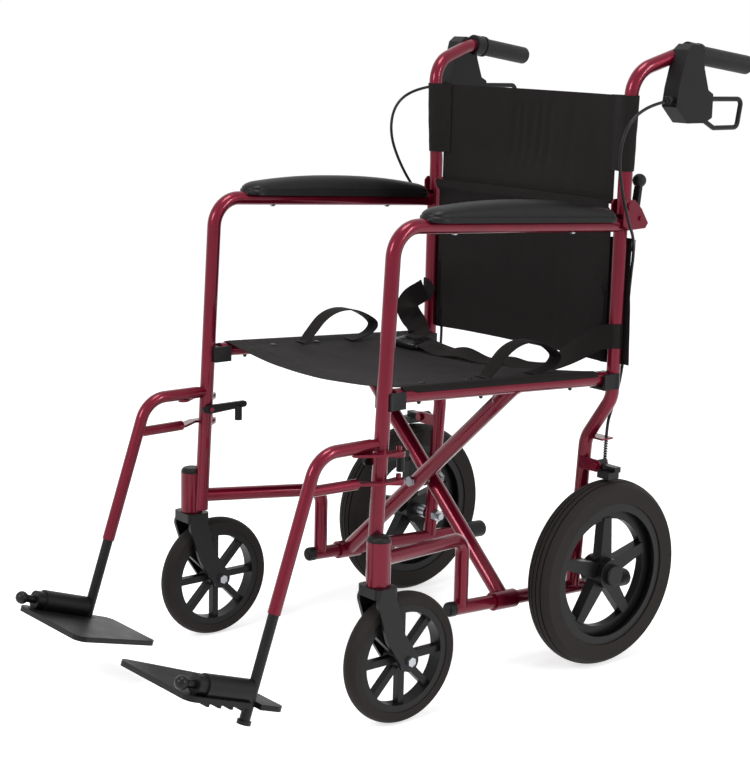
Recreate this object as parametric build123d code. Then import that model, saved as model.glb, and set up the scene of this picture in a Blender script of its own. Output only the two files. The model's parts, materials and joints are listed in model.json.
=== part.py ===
from build123d import *
import os
from math import atan, cos, degrees, radians, sin, tan

# Transport wheelchair with a scissor folding frame.
# Millimetres, +Z up, the chair faces -Y, the sitter's left is +X, the floor is Z = 0.
# A height "at Y 0" belongs to a member that drops towards the rear by FRAME_PITCH.

# Tube stock
FRAME_TUBE = 22.2
BRACE_TUBE = 25.4
HANGER_TUBE = 19.1
HANGER_BORE = 16.1
EXTENSION_TUBE = 15.9
FRAME_PITCH = 2.8

# Gaps between pieces
FIT_GAP = 0.08
SIDE_GAP = 0.4
SOFT_GAP = 0.4

# Side frame
SIDE_X = 223.0
UPRIGHT_TOP_Y = -170.0
UPRIGHT_FOOT_Z = 225.0
ARM_HEIGHT = 726.3
ARM_BEND = 45.0
POST_Y = 293.0
POST_TOP_Z = 721.0
STEP_TOP_Z = 435.0
STEP_FOOT_Z = 362.0
STEP_FOOT_Y = 284.0
POST_FOOT_Y = 268.0
POST_BEND = 45.0
LOWER_X = 179.0
BOTTOM_HEIGHT = 125.0
BOTTOM_FRONT_Y = 5.0
BOTTOM_REAR_Y = 388.0
DROP_Y = 20.0
RAIL_START_Z = 249.0
RAIL_CORNER_Z = 236.0
LOWER_BEND = 24.0

# Plastic ends of the bottom tube
FRONT_CAP_LENGTH = 14.0
TIP_CAP_DIAMETER = 30.0
TIP_CAP_LENGTH = 50.0
TIP_CAP_END = 9.0

# Seat rails, folding braces and their saddles
RAIL_X = 219.0
RAIL_HEIGHT = 481.0
RAIL_FRONT_Y = -164.0
RAIL_REAR_Y = 277.0
BRACE_FRONT_Y = 80.0
BRACE_REAR_Y = 111.0
FOOT_SLEEVE = 30.0
FOOT_SLEEVE_LENGTH = 46.0
BRACE_BOLT = 8.0
BOLT_HEAD = 15.0
GUSSET_HALF = 38.0
GUSSET_DROP = 50.0
SADDLE_COLLAR = 29.0
SADDLE_WIDTH = 33.0
SADDLE_REACH = 20.0
SADDLE_FLOOR = 6.0
SADDLE_HEIGHT = 25.0

# Casters
CASTER_X = 242.0
CASTER_PIVOT_Y = -201.0
CASTER_TRAIL = 44.0
CASTER_RADIUS = 100.0
CASTER_TYRE_HEIGHT = 18.0
CASTER_TYRE_WIDTH = 29.0
CASTER_RIM_HEIGHT = 11.0
CASTER_RIM_WIDTH = 23.0
CASTER_HUB = 36.0
CASTER_HUB_WIDTH = 34.0
CASTER_SPOKES = 8
CASTER_SPOKE_WIDTH = 11.0
CASTER_SPOKE_DEPTH = 12.0
CASTER_AXLE = 8.0
HOUSING_DIAMETER = 36.0
HOUSING_FOOT_Z = 219.0
HOUSING_TOP_Z = 285.0
HOUSING_CAP_HEIGHT = 8.0
FORK_GAP = 38.0
FORK_WALL = 6.0
FORK_CROWN = 15.0
FORK_CROWN_LENGTH = 40.0
FORK_KNEE_Y = -186.0
FORK_KNEE_Z = 143.0
FORK_KNEE = 31.0
FORK_END = 32.0
STEM = 12.0

# Rear wheels
WHEEL_X = 240.0
WHEEL_RADIUS = 153.0
TYRE_HEIGHT = 36.0
TYRE_WIDTH = 48.0
TYRE_CROWN = 11.0
TYRE_GROOVES = 4
GROOVE_PITCH = 8.0
GROOVE_DEPTH = 1.8
RIM_HEIGHT = 28.0
RIM_WIDTH = 40.0
RIM_FLANGE = 6.0
RIM_WEB = 14.0
HUB_DIAMETER = 50.0
HUB_WIDTH = 46.0
HUB_CAP = 34.0
HUB_CAP_HEIGHT = 9.0
WHEEL_SPOKES = 5
SPOKE_ROOT = 26.0
SPOKE_TIP = 17.0
SPOKE_DEPTH = 18.0
AXLE = 12.0
AXLE_INNER_X = 152.0
AXLE_NUT = 19.0

# Backrest canes, their brackets and the handles
CANE_FOOT_Z = 729.0
CANE_PIVOT_Y = 297.0
CANE_PIVOT_Z = 742.0
CANE_X = 223.5
CANE_KNEE_Z = 778.0
CANE_TOP_X = 231.0
CANE_TOP_Z = 947.0
CREST_X = 247.0
CREST_Y = 392.0
CREST_Z = 980.0
HANDLE_END_X = 258.0
HANDLE_END_Y = 528.3
HANDLE_END_Z = 961.0
KNEE_BEND = 200.0
CANE_BEND = 48.0
CREST_BEND = 90.0
CANE_PIN = 8.0
BRACKET_GAP = 23.2
BRACKET_WALL = 2.5
BRACKET_REACH = 10.0
BACK_LEVER_Y = 322.0
BACK_LEVER_Z = 722.0
BACK_LEVER_PIN = 5.0
KNOB_Y = 330.0
KNOB_Z = 780.0
KNOB = 22.0
GRIP_DIAMETER = 30.0
GRIP_LENGTH = 112.0
GRIP_FLANGE = 36.0

# Hand brakes
BRAKE_BODY_X = 262.0
BRAKE_BODY_WIDTH = 30.0
LEVER_SLOT = 13.0
LEVER_PIVOT_Y = 408.0
LEVER_PIVOT_Z = 897.0
LEVER_PIN = 6.0
LEVER_BAR = 8.0
LEVER_END_Y = 519.0
LEVER_TOP_Z = 907.0
LEVER_FOOT_Z = 862.0
LEVER_BEND = 9.0

# Arm pads
PAD_REAR_GAP = 10.0
PAD_LENGTH = 390.0
PAD_WIDTH = 50.0
PAD_RIM = 8.0
PAD_SIDE = 22.0
PAD_HEIGHT = 33.0
PAD_SINK = 5.0

# Footrests
HANGER_X = 222.0
HANGER_TOP_Z = 422.0
HANGER_CORNER_Y = -299.0
HANGER_LEAN = 18.5
HANGER_BEND = 46.0
HANGER_END_Z = 203.0
BORE_TOP_Z = 360.0
PLUG_LENGTH = 8.0
SPUR_Z = 370.0
SPUR_TUBE = 16.0
SPUR_END_Y = -232.0
PIN_X = 240.0
PIN_Y = -166.0
HOOK_PIN = 8.0
STRAP = 4.0
STRAP_SIDE_X = 243.0
STRAP_EYE = 18.0
UPPER_STRAP_Z = 409.5
LATCH_X = 206.0
LATCH_Y = -189.0
LATCH_Z = 395.0
LATCH_LENGTH = 65.0
EXTENSION_FOOT_Z = 52.0
EXTENSION_TOP_Z = 313.0
SPINDLE_Z = 97.0
SPINDLE = 12.0
BALL_REACH = 124.5
BALL = 20.0
BARREL = 34.0
BARREL_START = 9.0
BARREL_LENGTH = 78.0
COLLAR = 28.0
COLLAR_LENGTH = 15.0
PLATE_REAR = 54.0
PLATE_FRONT = 118.0
PLATE_OUTER = 16.0
PLATE_INNER_FRONT = 170.0
PLATE_INNER_REAR = 122.0
PLATE_DROP = 13.5
PLATE = 8.0
PLATE_CORNER = 14.0
PLATE_NOTCH = 21.0
PLATE_RIBS = 4
RIB_DEPTH = 5.0

# Rear wheel brakes
BRAKE_PIVOT_X = 216.0
BRAKE_PIVOT_Z = 324.0
BRAKE_PLATE_Y = 270.0
BRAKE_PLATE = 3.0
BRAKE_ARM_WIDTH = 16.0
BRAKE_PIN = 7.0
CABLE_X = 207.0
CABLE_Y = 301.0
SHOE_X = 243.5
SHOE_WIDTH = 25.0
SHOE_LENGTH = 24.0
SHOE_GAP = 4.0
STOP_TAB_Z = 363.0
STOP_TAB = 3.0
SPRING_DIAMETER = 9.0
SPRING_BORE = 6.0
CABLE = 5.0

# Soft parts
SEAT_FRONT_Y = -137.0
SEAT_REAR_Y = 252.0
FABRIC = 2.8
SEAT_SAG = 19.0
WEB_WIDTH = 25.0
WEB = 2.0
LOOP_HALF = 52.0
LOOP_HEIGHT = 62.0
LOOP_X = 188.0
LOOP_LEFT_Y = 98.0
LOOP_RIGHT_Y = 36.0
BACK_TOP_Z = 912.0
SLEEVE_FOOT_Z = 797.0
BACK_FOLD_Z = 742.0
WRAP_TOP_Z = 690.0
WRAP_GAP = 13.9
BACK_PANEL = 5.0
BACK_SAG = 16.0
BELT_WIDTH = 38.0
BELT = 2.5
BUCKLE_X = -130.0
BUCKLE_Y = 168.0
BUCKLE_LIFT = 0.5
BUCKLE_TURN = 18.5
BUCKLE_LENGTH = 54.0
BUCKLE_WIDTH = 44.0
BUCKLE = 12.0

SLOPE = tan(radians(FRAME_PITCH))
LEAN = radians(HANGER_LEAN)


def level(height, y):
    """Height at y of a member that drops towards the rear."""
    return height - y * SLOPE


def upright_y(z):
    """Y of the raked front upright's axis at a height."""
    return UPRIGHT_TOP_Y - (level(ARM_HEIGHT, UPRIGHT_TOP_Y) - z) * SLOPE


def hanger_y(z):
    """Y of the sloping footrest tube's axis at a height."""
    return HANGER_CORNER_Y - (HANGER_TOP_Z - z) * tan(LEAN)


def post_foot_y(z):
    """Y of the lower part of the rear post's axis at a height."""
    foot_z = level(BOTTOM_HEIGHT, POST_FOOT_Y)
    share = (z - foot_z) / (STEP_FOOT_Z - foot_z)
    return POST_FOOT_Y + share * (STEP_FOOT_Y - POST_FOOT_Y)


AXLE_Z = WHEEL_RADIUS
BUCKLE_Z = RAIL_HEIGHT + BUCKLE_LIFT
AXLE_Y = post_foot_y(AXLE_Z)
CASTER_Y = CASTER_PIVOT_Y + CASTER_TRAIL
BACKWARDS = Vector(0, cos(radians(FRAME_PITCH)), -sin(radians(FRAME_PITCH)))


def tube(points, diameter, radii):
    """A bent tube or bar that follows points."""
    path = FilletPolyline(*points, radius=radii)
    return sweep(Plane(origin=path @ 0, z_dir=path % 0) * Circle(diameter / 2), path=path)


def rod(start, end, diameter):
    """A round bar between two points."""
    start = Vector(*start)
    along = Vector(*end) - start
    return extrude(Plane(origin=start, z_dir=along) * Circle(diameter / 2), amount=along.length)


def hex_bar(start, end, across):
    """A hexagonal bar between two points."""
    start = Vector(*start)
    along = Vector(*end) - start
    section = RegularPolygon(across / 2, 6, major_radius=False)
    return extrude(Plane(origin=start, z_dir=along) * section, amount=along.length)


def pitched_rod(x, height, y0, y1, diameter):
    """A round bar that drops towards the rear."""
    return rod((x, y0, level(height, y0)), (x, y1, level(height, y1)), diameter)


def upright_rod(z0, z1, diameter=FRAME_TUBE):
    """A round bar on the front upright's axis."""
    return rod((SIDE_X, upright_y(z0), z0), (SIDE_X, upright_y(z1), z1), diameter)


def block(x0, x1, y0, y1, z0, z1):
    """A box between two corners."""
    return Pos((x0 + x1) / 2, (y0 + y1) / 2, (z0 + z1) / 2) * Box(x1 - x0, y1 - y0, z1 - z0)


def side_plane(x):
    """Plane across X, with its first axis along Y and its second along Z."""
    return Plane(origin=(x, 0, 0), x_dir=(0, 1, 0), z_dir=(1, 0, 0))


def side_plate(outline, x0, x1):
    """A plate from x0 to x1 with its outline in the YZ plane."""
    face = make_face(Polyline(*outline, close=True))
    return extrude(side_plane(x0) * face, amount=x1 - x0)


def link_face(first, first_radius, second, second_radius):
    """Outline of a flat bar with two round ends."""
    first_end = Pos(*first) * Circle(first_radius)
    second_end = Pos(*second) * Circle(second_radius)
    return make_hull([first_end.edges()[0], second_end.edges()[0]])


def flat_link(first, first_radius, second, second_radius, z0, z1):
    """A level bar with two round ends, given by points in plan."""
    face = link_face(first, first_radius, second, second_radius)
    return extrude(Pos(0, 0, z0) * face, amount=z1 - z0)


def side_link(first, first_radius, second, second_radius, x0, x1):
    """An upright bar with two round ends, given by points in the YZ plane."""
    face = link_face(first, first_radius, second, second_radius)
    return extrude(side_plane(x0) * face, amount=x1 - x0)


def ring(outer, inner, width, x):
    """A ring round the X axis, centred on x."""
    return Pos(x, 0, 0) * Rot(0, 90, 0) * (Cylinder(outer, width) - Cylinder(inner, width + 2))


def on_right(part):
    """The mirror image of a left piece."""
    return mirror(part, about=Plane.YZ)


def hook_lug(strap_z):
    """A lug behind the front upright with a pin that the footrest hooks over."""
    y = upright_y(strap_z)
    z1 = strap_z - SIDE_GAP
    lug = flat_link((SIDE_X, y), FRAME_TUBE / 2 - 3, (PIN_X, PIN_Y), STRAP_EYE / 2, z1 - STRAP, z1)
    return lug + rod((PIN_X, PIN_Y, z1 - STRAP / 2), (PIN_X, PIN_Y, strap_z + STRAP + 7), HOOK_PIN)


def side_tube():
    """Front upright and arm tube in one piece, with the lugs and stud that hold the footrest."""
    corner = (SIDE_X, UPRIGHT_TOP_Y, level(ARM_HEIGHT, UPRIGHT_TOP_Y))
    foot = (SIDE_X, upright_y(UPRIGHT_FOOT_Z), UPRIGHT_FOOT_Z)
    end = (SIDE_X, POST_Y, level(ARM_HEIGHT, POST_Y))
    body = tube([foot, corner, end], FRAME_TUBE, ARM_BEND)
    body -= rod((SIDE_X, POST_Y, POST_TOP_Z - 80), (SIDE_X, POST_Y, POST_TOP_Z + 80), FRAME_TUBE)
    body += hook_lug(SPUR_Z - STRAP / 2)
    body += hook_lug(UPPER_STRAP_Z)
    stud_end = (LATCH_X - 5, LATCH_Y, LATCH_Z)
    return body + rod((SIDE_X - FRAME_TUBE / 2 + 3, LATCH_Y, LATCH_Z), stud_end, HOOK_PIN)


def rear_post():
    """Rear post, stepped inwards above the wheel, with the cable stop and the brake's plate."""
    top = (SIDE_X, POST_Y, POST_TOP_Z)
    step_top = (SIDE_X, POST_Y, STEP_TOP_Z)
    step_foot = (LOWER_X, STEP_FOOT_Y, STEP_FOOT_Z)
    foot = (LOWER_X, POST_FOOT_Y, level(BOTTOM_HEIGHT, POST_FOOT_Y))
    body = tube([top, step_top, step_foot, foot], FRAME_TUBE, POST_BEND)
    tab_top = STOP_TAB_Z + STOP_TAB
    body += block(LOWER_X, CABLE_X + 8, STEP_FOOT_Y, CABLE_Y + 8, STOP_TAB_Z, tab_top)
    body -= rod((CABLE_X, CABLE_Y, STOP_TAB_Z - 5), (CABLE_X, CABLE_Y, tab_top + 5), CABLE + 0.8)
    y0 = BRAKE_PLATE_Y
    y1 = BRAKE_PLATE_Y + BRAKE_PLATE
    z = BRAKE_PIVOT_Z
    body += block(LOWER_X, BRAKE_PIVOT_X, y0, y1, z - 10, z + 10)
    body += rod((BRAKE_PIVOT_X, y0, z), (BRAKE_PIVOT_X, y1, z), 20)
    body += rod((BRAKE_PIVOT_X, y0 - 5, z), (BRAKE_PIVOT_X, y0, z), 13)
    pin_end = y1 + 2 * SIDE_GAP + BRAKE_ARM_WIDTH
    body += rod((BRAKE_PIVOT_X, y0, z), (BRAKE_PIVOT_X, pin_end, z), BRAKE_PIN)
    body += rod((BRAKE_PIVOT_X, pin_end, z), (BRAKE_PIVOT_X, pin_end + 4, z), 12)
    body -= bottom_tube()
    return body - rod((LOWER_X - 20, AXLE_Y, AXLE_Z), (LOWER_X + 20, AXLE_Y, AXLE_Z), AXLE)


def bottom_tube():
    """Bottom tube of a side frame."""
    return pitched_rod(LOWER_X, BOTTOM_HEIGHT, BOTTOM_FRONT_Y, BOTTOM_REAR_Y, FRAME_TUBE)


def lower_frame():
    """Caster housing, lower rail bent down in front, and bottom tube, welded together."""
    start = (SIDE_X, upright_y(RAIL_START_Z), RAIL_START_Z)
    corner = (LOWER_X, DROP_Y, RAIL_CORNER_Z)
    foot = (LOWER_X, DROP_Y, level(BOTTOM_HEIGHT, DROP_Y))
    body = tube([start, corner, foot], FRAME_TUBE, LOWER_BEND) + bottom_tube()
    low = (CASTER_X, CASTER_PIVOT_Y, HOUSING_FOOT_Z)
    body += rod(low, (CASTER_X, CASTER_PIVOT_Y, HOUSING_TOP_Z), HOUSING_DIAMETER)
    body -= upright_rod(UPRIGHT_FOOT_Z, HOUSING_TOP_Z + 30)
    stem_room = (CASTER_X, CASTER_PIVOT_Y, HOUSING_TOP_Z - 8)
    return body - rod(low, stem_room, STEM + 2 * FIT_GAP)


def tube_caps():
    """Front plug and rear tipping cap of the bottom tube, and the domed cap of the caster housing."""
    front_end = BOTTOM_FRONT_Y - FRONT_CAP_LENGTH
    front = pitched_rod(LOWER_X, BOTTOM_HEIGHT, front_end, BOTTOM_FRONT_Y, FRAME_TUBE + 1)
    front = fillet(front.edges().filter_by(GeomType.CIRCLE).sort_by(Axis.Y)[0], 5)
    rear_end = BOTTOM_REAR_Y + TIP_CAP_END
    rear = pitched_rod(LOWER_X, BOTTOM_HEIGHT, rear_end - TIP_CAP_LENGTH, rear_end, TIP_CAP_DIAMETER)
    rear = fillet(rear.edges().filter_by(GeomType.CIRCLE).sort_by(Axis.Y)[-1], 6)
    rear -= bottom_tube()
    dome = extrude(Circle(HOUSING_DIAMETER / 2 - 0.5), amount=HOUSING_CAP_HEIGHT)
    dome = fillet(dome.edges().group_by(Axis.Z)[-1], HOUSING_CAP_HEIGHT - 1)
    dome = Pos(CASTER_X, CASTER_PIVOT_Y, HOUSING_TOP_Z) * dome
    dome -= upright_rod(HOUSING_FOOT_Z, HOUSING_TOP_Z + 30)
    return [front, rear, dome]


def saddle(post_y, facing):
    """A plastic collar with an open cup that the seat rail drops into."""
    far_y = post_y + facing * (FRAME_TUBE / 2 + SADDLE_REACH)
    rail_z = level(RAIL_HEIGHT, far_y)
    z1 = saddle_top_z(post_y, facing)
    z0 = z1 - SADDLE_HEIGHT
    body = Pos(SIDE_X, post_y, (z0 + z1) / 2) * Cylinder(SADDLE_COLLAR / 2, SADDLE_HEIGHT)
    y0 = min(post_y, far_y)
    y1 = max(post_y, far_y)
    body += block(RAIL_X - SADDLE_WIDTH / 2, RAIL_X + SADDLE_WIDTH / 2, y0, y1, z0, z1)
    room = FRAME_TUBE / 2 + SIDE_GAP
    open_y = post_y + facing * (FRAME_TUBE / 2 + 1)
    beyond_y = far_y + facing * 30
    y0 = min(open_y, beyond_y)
    y1 = max(open_y, beyond_y)
    body -= pitched_rod(RAIL_X, RAIL_HEIGHT, y0, y1, 2 * room)
    return body - block(RAIL_X - room - 1.4, RAIL_X + room, y0, y1, rail_z, z1 + 20)


def saddle_top_z(post_y, facing):
    """Height of a saddle's top."""
    rail_z = level(RAIL_HEIGHT, post_y + facing * (FRAME_TUBE / 2 + SADDLE_REACH))
    return rail_z - FRAME_TUBE / 2 - SADDLE_FLOOR + SADDLE_HEIGHT


def seat_saddles():
    """Front and rear saddles of one side frame."""
    front_z = level(RAIL_HEIGHT, RAIL_FRONT_Y)
    front = saddle(upright_y(front_z), 1) - upright_rod(front_z - 60, front_z + 60)
    rear_post_part = rod((SIDE_X, POST_Y, STEP_TOP_Z), (SIDE_X, POST_Y, POST_TOP_Z), FRAME_TUBE)
    return [front, saddle(POST_Y, -1) - rear_post_part]


def arm_pad():
    """Moulded arm pad with a flat rim and a crowned top, grooved for the arm tube."""
    pad = extrude(SlotOverall(PAD_LENGTH, PAD_WIDTH, rotation=90), amount=PAD_RIM)
    crown = extrude(SlotOverall(PAD_LENGTH - 4, PAD_WIDTH - 4, rotation=90), amount=PAD_HEIGHT)
    crown = fillet(crown.edges().group_by(Axis.Z)[-1], PAD_SIDE)
    rear_y = POST_Y - BRACKET_REACH - PAD_REAR_GAP
    centre_y = rear_y - PAD_LENGTH / 2
    base_z = level(ARM_HEIGHT, centre_y) + FRAME_TUBE / 2 - PAD_SINK
    pad = Location((SIDE_X, centre_y, base_z), (-FRAME_PITCH, 0, 0)) * (pad + crown)
    return pad - pitched_rod(SIDE_X, ARM_HEIGHT, rear_y - PAD_LENGTH - 30, rear_y + 30, FRAME_TUBE)


def back_bracket():
    """Clevis on the rear post that carries the cane and its lock lever, with their pins."""
    rise = CANE_PIVOT_Z + 10
    outline = [
        (POST_Y - BRACKET_REACH, POST_TOP_Z - 17),
        (POST_Y - BRACKET_REACH, rise - 6),
        (CANE_PIVOT_Y - 8, rise),
        (CANE_PIVOT_Y + 10, rise),
        (BACK_LEVER_Y + 2, BACK_LEVER_Z + 15),
        (BACK_LEVER_Y + 18, BACK_LEVER_Z - 8),
        (BACK_LEVER_Y + 12, BACK_LEVER_Z - 16),
    ]
    inner = BRACKET_GAP / 2
    outer = inner + BRACKET_WALL
    body = side_plate(outline, CANE_X + inner, CANE_X + outer)
    body += side_plate(outline, CANE_X - outer, CANE_X - inner)
    web_y = POST_Y + FRAME_TUBE / 2 + 0.2
    web_top = POST_TOP_Z - 7
    body += block(CANE_X - inner, CANE_X + inner, web_y, web_y + BRACKET_WALL, web_top - 10, web_top)
    pins = ((CANE_PIVOT_Y, CANE_PIVOT_Z, CANE_PIN), (BACK_LEVER_Y, BACK_LEVER_Z, BACK_LEVER_PIN))
    for y, z, diameter in pins:
        body += rod((CANE_X - outer, y, z), (CANE_X + outer, y, z), diameter)
        body += rod((CANE_X + outer, y, z), (CANE_X + outer + 3, y, z), 1.6 * diameter)
        body += rod((CANE_X - outer - 3, y, z), (CANE_X - outer, y, z), 1.6 * diameter)
    return body


def back_lever():
    """Lock lever of the fold-down back, with a round knob."""
    half = BRACKET_GAP / 2 - SIDE_GAP
    pivot = (BACK_LEVER_Y, BACK_LEVER_Z)
    body = rod((CANE_X - half, *pivot), (CANE_X + half, *pivot), 12)
    body += side_link(pivot, 4, (KNOB_Y, KNOB_Z), 3, CANE_X - 6, CANE_X + 6)
    body += Pos(CANE_X, KNOB_Y, KNOB_Z) * Sphere(KNOB / 2)
    return body - rod((CANE_X - 20, *pivot), (CANE_X + 20, *pivot), BACK_LEVER_PIN + 2 * FIT_GAP)


def cane_bar(diameter):
    """A bar bent like the cane and its push handle."""
    points = [
        (CANE_X, CANE_PIVOT_Y, CANE_FOOT_Z),
        (CANE_X, CANE_PIVOT_Y, CANE_KNEE_Z),
        (CANE_TOP_X, CANE_PIVOT_Y - 2, CANE_TOP_Z),
        (CREST_X, CREST_Y, CREST_Z),
        (HANDLE_END_X, HANDLE_END_Y, HANDLE_END_Z),
    ]
    return tube(points, diameter, [KNEE_BEND, CANE_BEND, CREST_BEND])


def back_cane():
    """Backrest cane and push handle in one bent tube."""
    pin = (CANE_PIVOT_Y, CANE_PIVOT_Z)
    hole = rod((CANE_X - 30, *pin), (CANE_X + 30, *pin), CANE_PIN + 2 * FIT_GAP)
    return cane_bar(FRAME_TUBE) - hole


def handle_point(forward):
    """A point on the handle's axis, a distance forward of its end."""
    end = Vector(HANDLE_END_X, HANDLE_END_Y, HANDLE_END_Z)
    along = Vector(CREST_X, CREST_Y, CREST_Z) - end
    return end + along.normalized() * forward


def hand_grip():
    """Grip sleeve on the push handle, with a flange in front and a closed round end."""
    body = rod(handle_point(GRIP_LENGTH), handle_point(-6), GRIP_DIAMETER)
    body = fillet(body.edges().filter_by(GeomType.CIRCLE).sort_by(Axis.Y)[-1], 5)
    body += rod(handle_point(GRIP_LENGTH), handle_point(GRIP_LENGTH - 5), GRIP_FLANGE)
    return body - rod(handle_point(GRIP_LENGTH + 5), handle_point(0), FRAME_TUBE)


def brake_housing():
    """Moulded housing under the handle that holds the brake lever, with the cable adjuster."""
    outline = [
        (346, 897),
        (350, 925),
        (366, 984),
        (378, 993),
        (402, 990),
        (408, 955),
        (420, 922),
        (432, 916),
        (432, 879),
        (414, 871),
        (374, 871),
    ]
    x0 = BRAKE_BODY_X - BRAKE_BODY_WIDTH / 2
    x1 = BRAKE_BODY_X + BRAKE_BODY_WIDTH / 2
    body = side_plate(outline, x0, x1)
    body = fillet(body.edges().filter_by(Axis.X), 3)
    body += rod(handle_point(GRIP_LENGTH + 2), handle_point(GRIP_LENGTH + 22), FRAME_TUBE + 12)
    slot = LEVER_SLOT / 2
    slot_front = LEVER_PIVOT_Y - 16
    body -= block(BRAKE_BODY_X - slot, BRAKE_BODY_X + slot, slot_front, 470, 860, LEVER_TOP_Z + 28)
    pivot = (LEVER_PIVOT_Y, LEVER_PIVOT_Z)
    body += rod((x0 + 2, *pivot), (x1 - 2, *pivot), LEVER_PIN)
    body -= cane_bar(FRAME_TUBE)
    adjuster = rod((266, 352, 911), (274, 322, 905), 9)
    return body + adjuster + hex_bar((270.4, 335.5, 907.7), (272.5, 328, 906.2), 12)


def brake_lever():
    """Hand brake lever, a closed loop of bar on a pivot boss."""
    x = BRAKE_BODY_X
    y = LEVER_PIVOT_Y
    z = LEVER_PIVOT_Z
    loop = [
        (x, y, LEVER_TOP_Z + 1),
        (x, LEVER_END_Y, LEVER_TOP_Z),
        (x, LEVER_END_Y - 8, LEVER_FOOT_Z),
        (x, y + 46, LEVER_FOOT_Z),
        (x, y, z - 12),
    ]
    body = tube(loop, LEVER_BAR, LEVER_BEND)
    half = LEVER_SLOT / 2 - SIDE_GAP
    body += rod((x - half, y, z), (x + half, y, z), 30)
    body -= block(x - 20, x + 20, y - 30, y - 12, z - 40, z + 40)
    return body - rod((x - 20, y, z), (x + 20, y, z), LEVER_PIN + 2 * FIT_GAP)


def caster_fork():
    """Caster fork with a crown, two bent legs and the swivel stem."""
    top = HOUSING_FOOT_Z - 0.5
    foot = top - FORK_CROWN
    half = FORK_GAP / 2 + FORK_WALL
    y0 = CASTER_PIVOT_Y - FORK_CROWN_LENGTH / 2
    y1 = CASTER_PIVOT_Y + FORK_CROWN_LENGTH / 2
    body = block(CASTER_X - half, CASTER_X + half, y0, y1, foot, top)
    body = fillet(body.edges().filter_by(Axis.Z), 8)
    shoulder = (CASTER_PIVOT_Y - 1, foot - 6)
    knee = (FORK_KNEE_Y, FORK_KNEE_Z)
    axle = (CASTER_Y, CASTER_RADIUS)
    for x0 in (CASTER_X - half, CASTER_X + half - FORK_WALL):
        x1 = x0 + FORK_WALL
        body += side_link(shoulder, FORK_KNEE / 2 + 2, knee, FORK_KNEE / 2, x0, x1)
        body += side_link(knee, FORK_KNEE / 2, axle, FORK_END / 2, x0, x1)
    body -= rod((CASTER_X - 40, *axle), (CASTER_X + 40, *axle), CASTER_AXLE)
    stem_top = (CASTER_X, CASTER_PIVOT_Y, HOUSING_TOP_Z - 12)
    return body + rod((CASTER_X, CASTER_PIVOT_Y, top - 4), stem_top, STEM)


def caster_wheel():
    """Caster wheel with straight spokes."""
    rim = CASTER_RADIUS - CASTER_TYRE_HEIGHT
    body = ring(rim, rim - CASTER_RIM_HEIGHT, CASTER_RIM_WIDTH, 0)
    body += ring(CASTER_HUB / 2, CASTER_AXLE / 2 + FIT_GAP, CASTER_HUB_WIDTH, 0)
    length = rim - CASTER_RIM_HEIGHT - CASTER_HUB / 2 + 4
    spoke = Pos(0, 0, CASTER_HUB / 2 - 2 + length / 2)
    spoke = spoke * Box(CASTER_SPOKE_DEPTH, CASTER_SPOKE_WIDTH, length)
    for i in range(CASTER_SPOKES):
        body += Rot(360 / CASTER_SPOKES * i, 0, 0) * spoke
    return Pos(CASTER_X, CASTER_Y, CASTER_RADIUS) * body


def tyre(radius, height, width, crown):
    """A tyre round the Z axis, with a rounded tread."""
    inner = radius - height
    half = width / 2
    shoulder = radius - crown
    sides = Polyline((shoulder, half), (inner, half - 2), (inner, 2 - half), (shoulder, -half))
    tread = ThreePointArc((shoulder, -half), (radius, 0), (shoulder, half))
    return revolve(Plane.XZ * make_face([sides, tread]), axis=Axis.Z)


def caster_tyre():
    """Solid caster tyre."""
    body = tyre(CASTER_RADIUS, CASTER_TYRE_HEIGHT, CASTER_TYRE_WIDTH, 6)
    return Pos(CASTER_X, CASTER_Y, CASTER_RADIUS) * Rot(0, 90, 0) * body


def caster_axle():
    """Bolt and nut through the caster fork."""
    end = FORK_GAP / 2 + FORK_WALL
    body = rod((-end, 0, 0), (end, 0, 0), CASTER_AXLE)
    body += hex_bar((end, 0, 0), (end + 5, 0, 0), 13)
    body += hex_bar((-end - 6, 0, 0), (-end, 0, 0), 13)
    return Pos(CASTER_X, CASTER_Y, CASTER_RADIUS) * body


def rear_wheel():
    """Rear wheel with a flanged rim, tapered spokes and a hub cap."""
    rim = WHEEL_RADIUS - TYRE_HEIGHT
    body = ring(rim, rim - RIM_HEIGHT, RIM_WEB, 0)
    body += ring(rim, rim - RIM_FLANGE, RIM_WIDTH, 0)
    for x in (2 - RIM_WIDTH / 2, RIM_WIDTH / 2 - 2):
        body += ring(rim, rim - 2.2 * RIM_FLANGE, 4, x)
    root = HUB_DIAMETER / 2 - 5
    tip = rim - RIM_HEIGHT + 3
    half_root = SPOKE_ROOT / 2
    half_tip = SPOKE_TIP / 2
    outline = [(-half_root, root), (half_root, root), (half_tip, tip), (-half_tip, tip)]
    spoke = side_plate(outline, -SPOKE_DEPTH / 2, SPOKE_DEPTH / 2)
    for i in range(WHEEL_SPOKES):
        body += Rot(360 / WHEEL_SPOKES * i, 0, 0) * spoke
    body += Rot(0, 90, 0) * Cylinder(HUB_DIAMETER / 2, HUB_WIDTH)
    end = HUB_WIDTH / 2
    cap = rod((end, 0, 0), (end + HUB_CAP_HEIGHT, 0, 0), HUB_CAP)
    body += fillet(cap.edges().group_by(Axis.X)[-1], 3)
    body -= rod((-end - 5, 0, 0), (end, 0, 0), AXLE + 2 * FIT_GAP)
    body -= rod((end - 2.5, 0, 0), (end + HUB_CAP_HEIGHT - 2.5, 0, 0), HUB_CAP - 8)
    return Pos(WHEEL_X, AXLE_Y, AXLE_Z) * body


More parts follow.
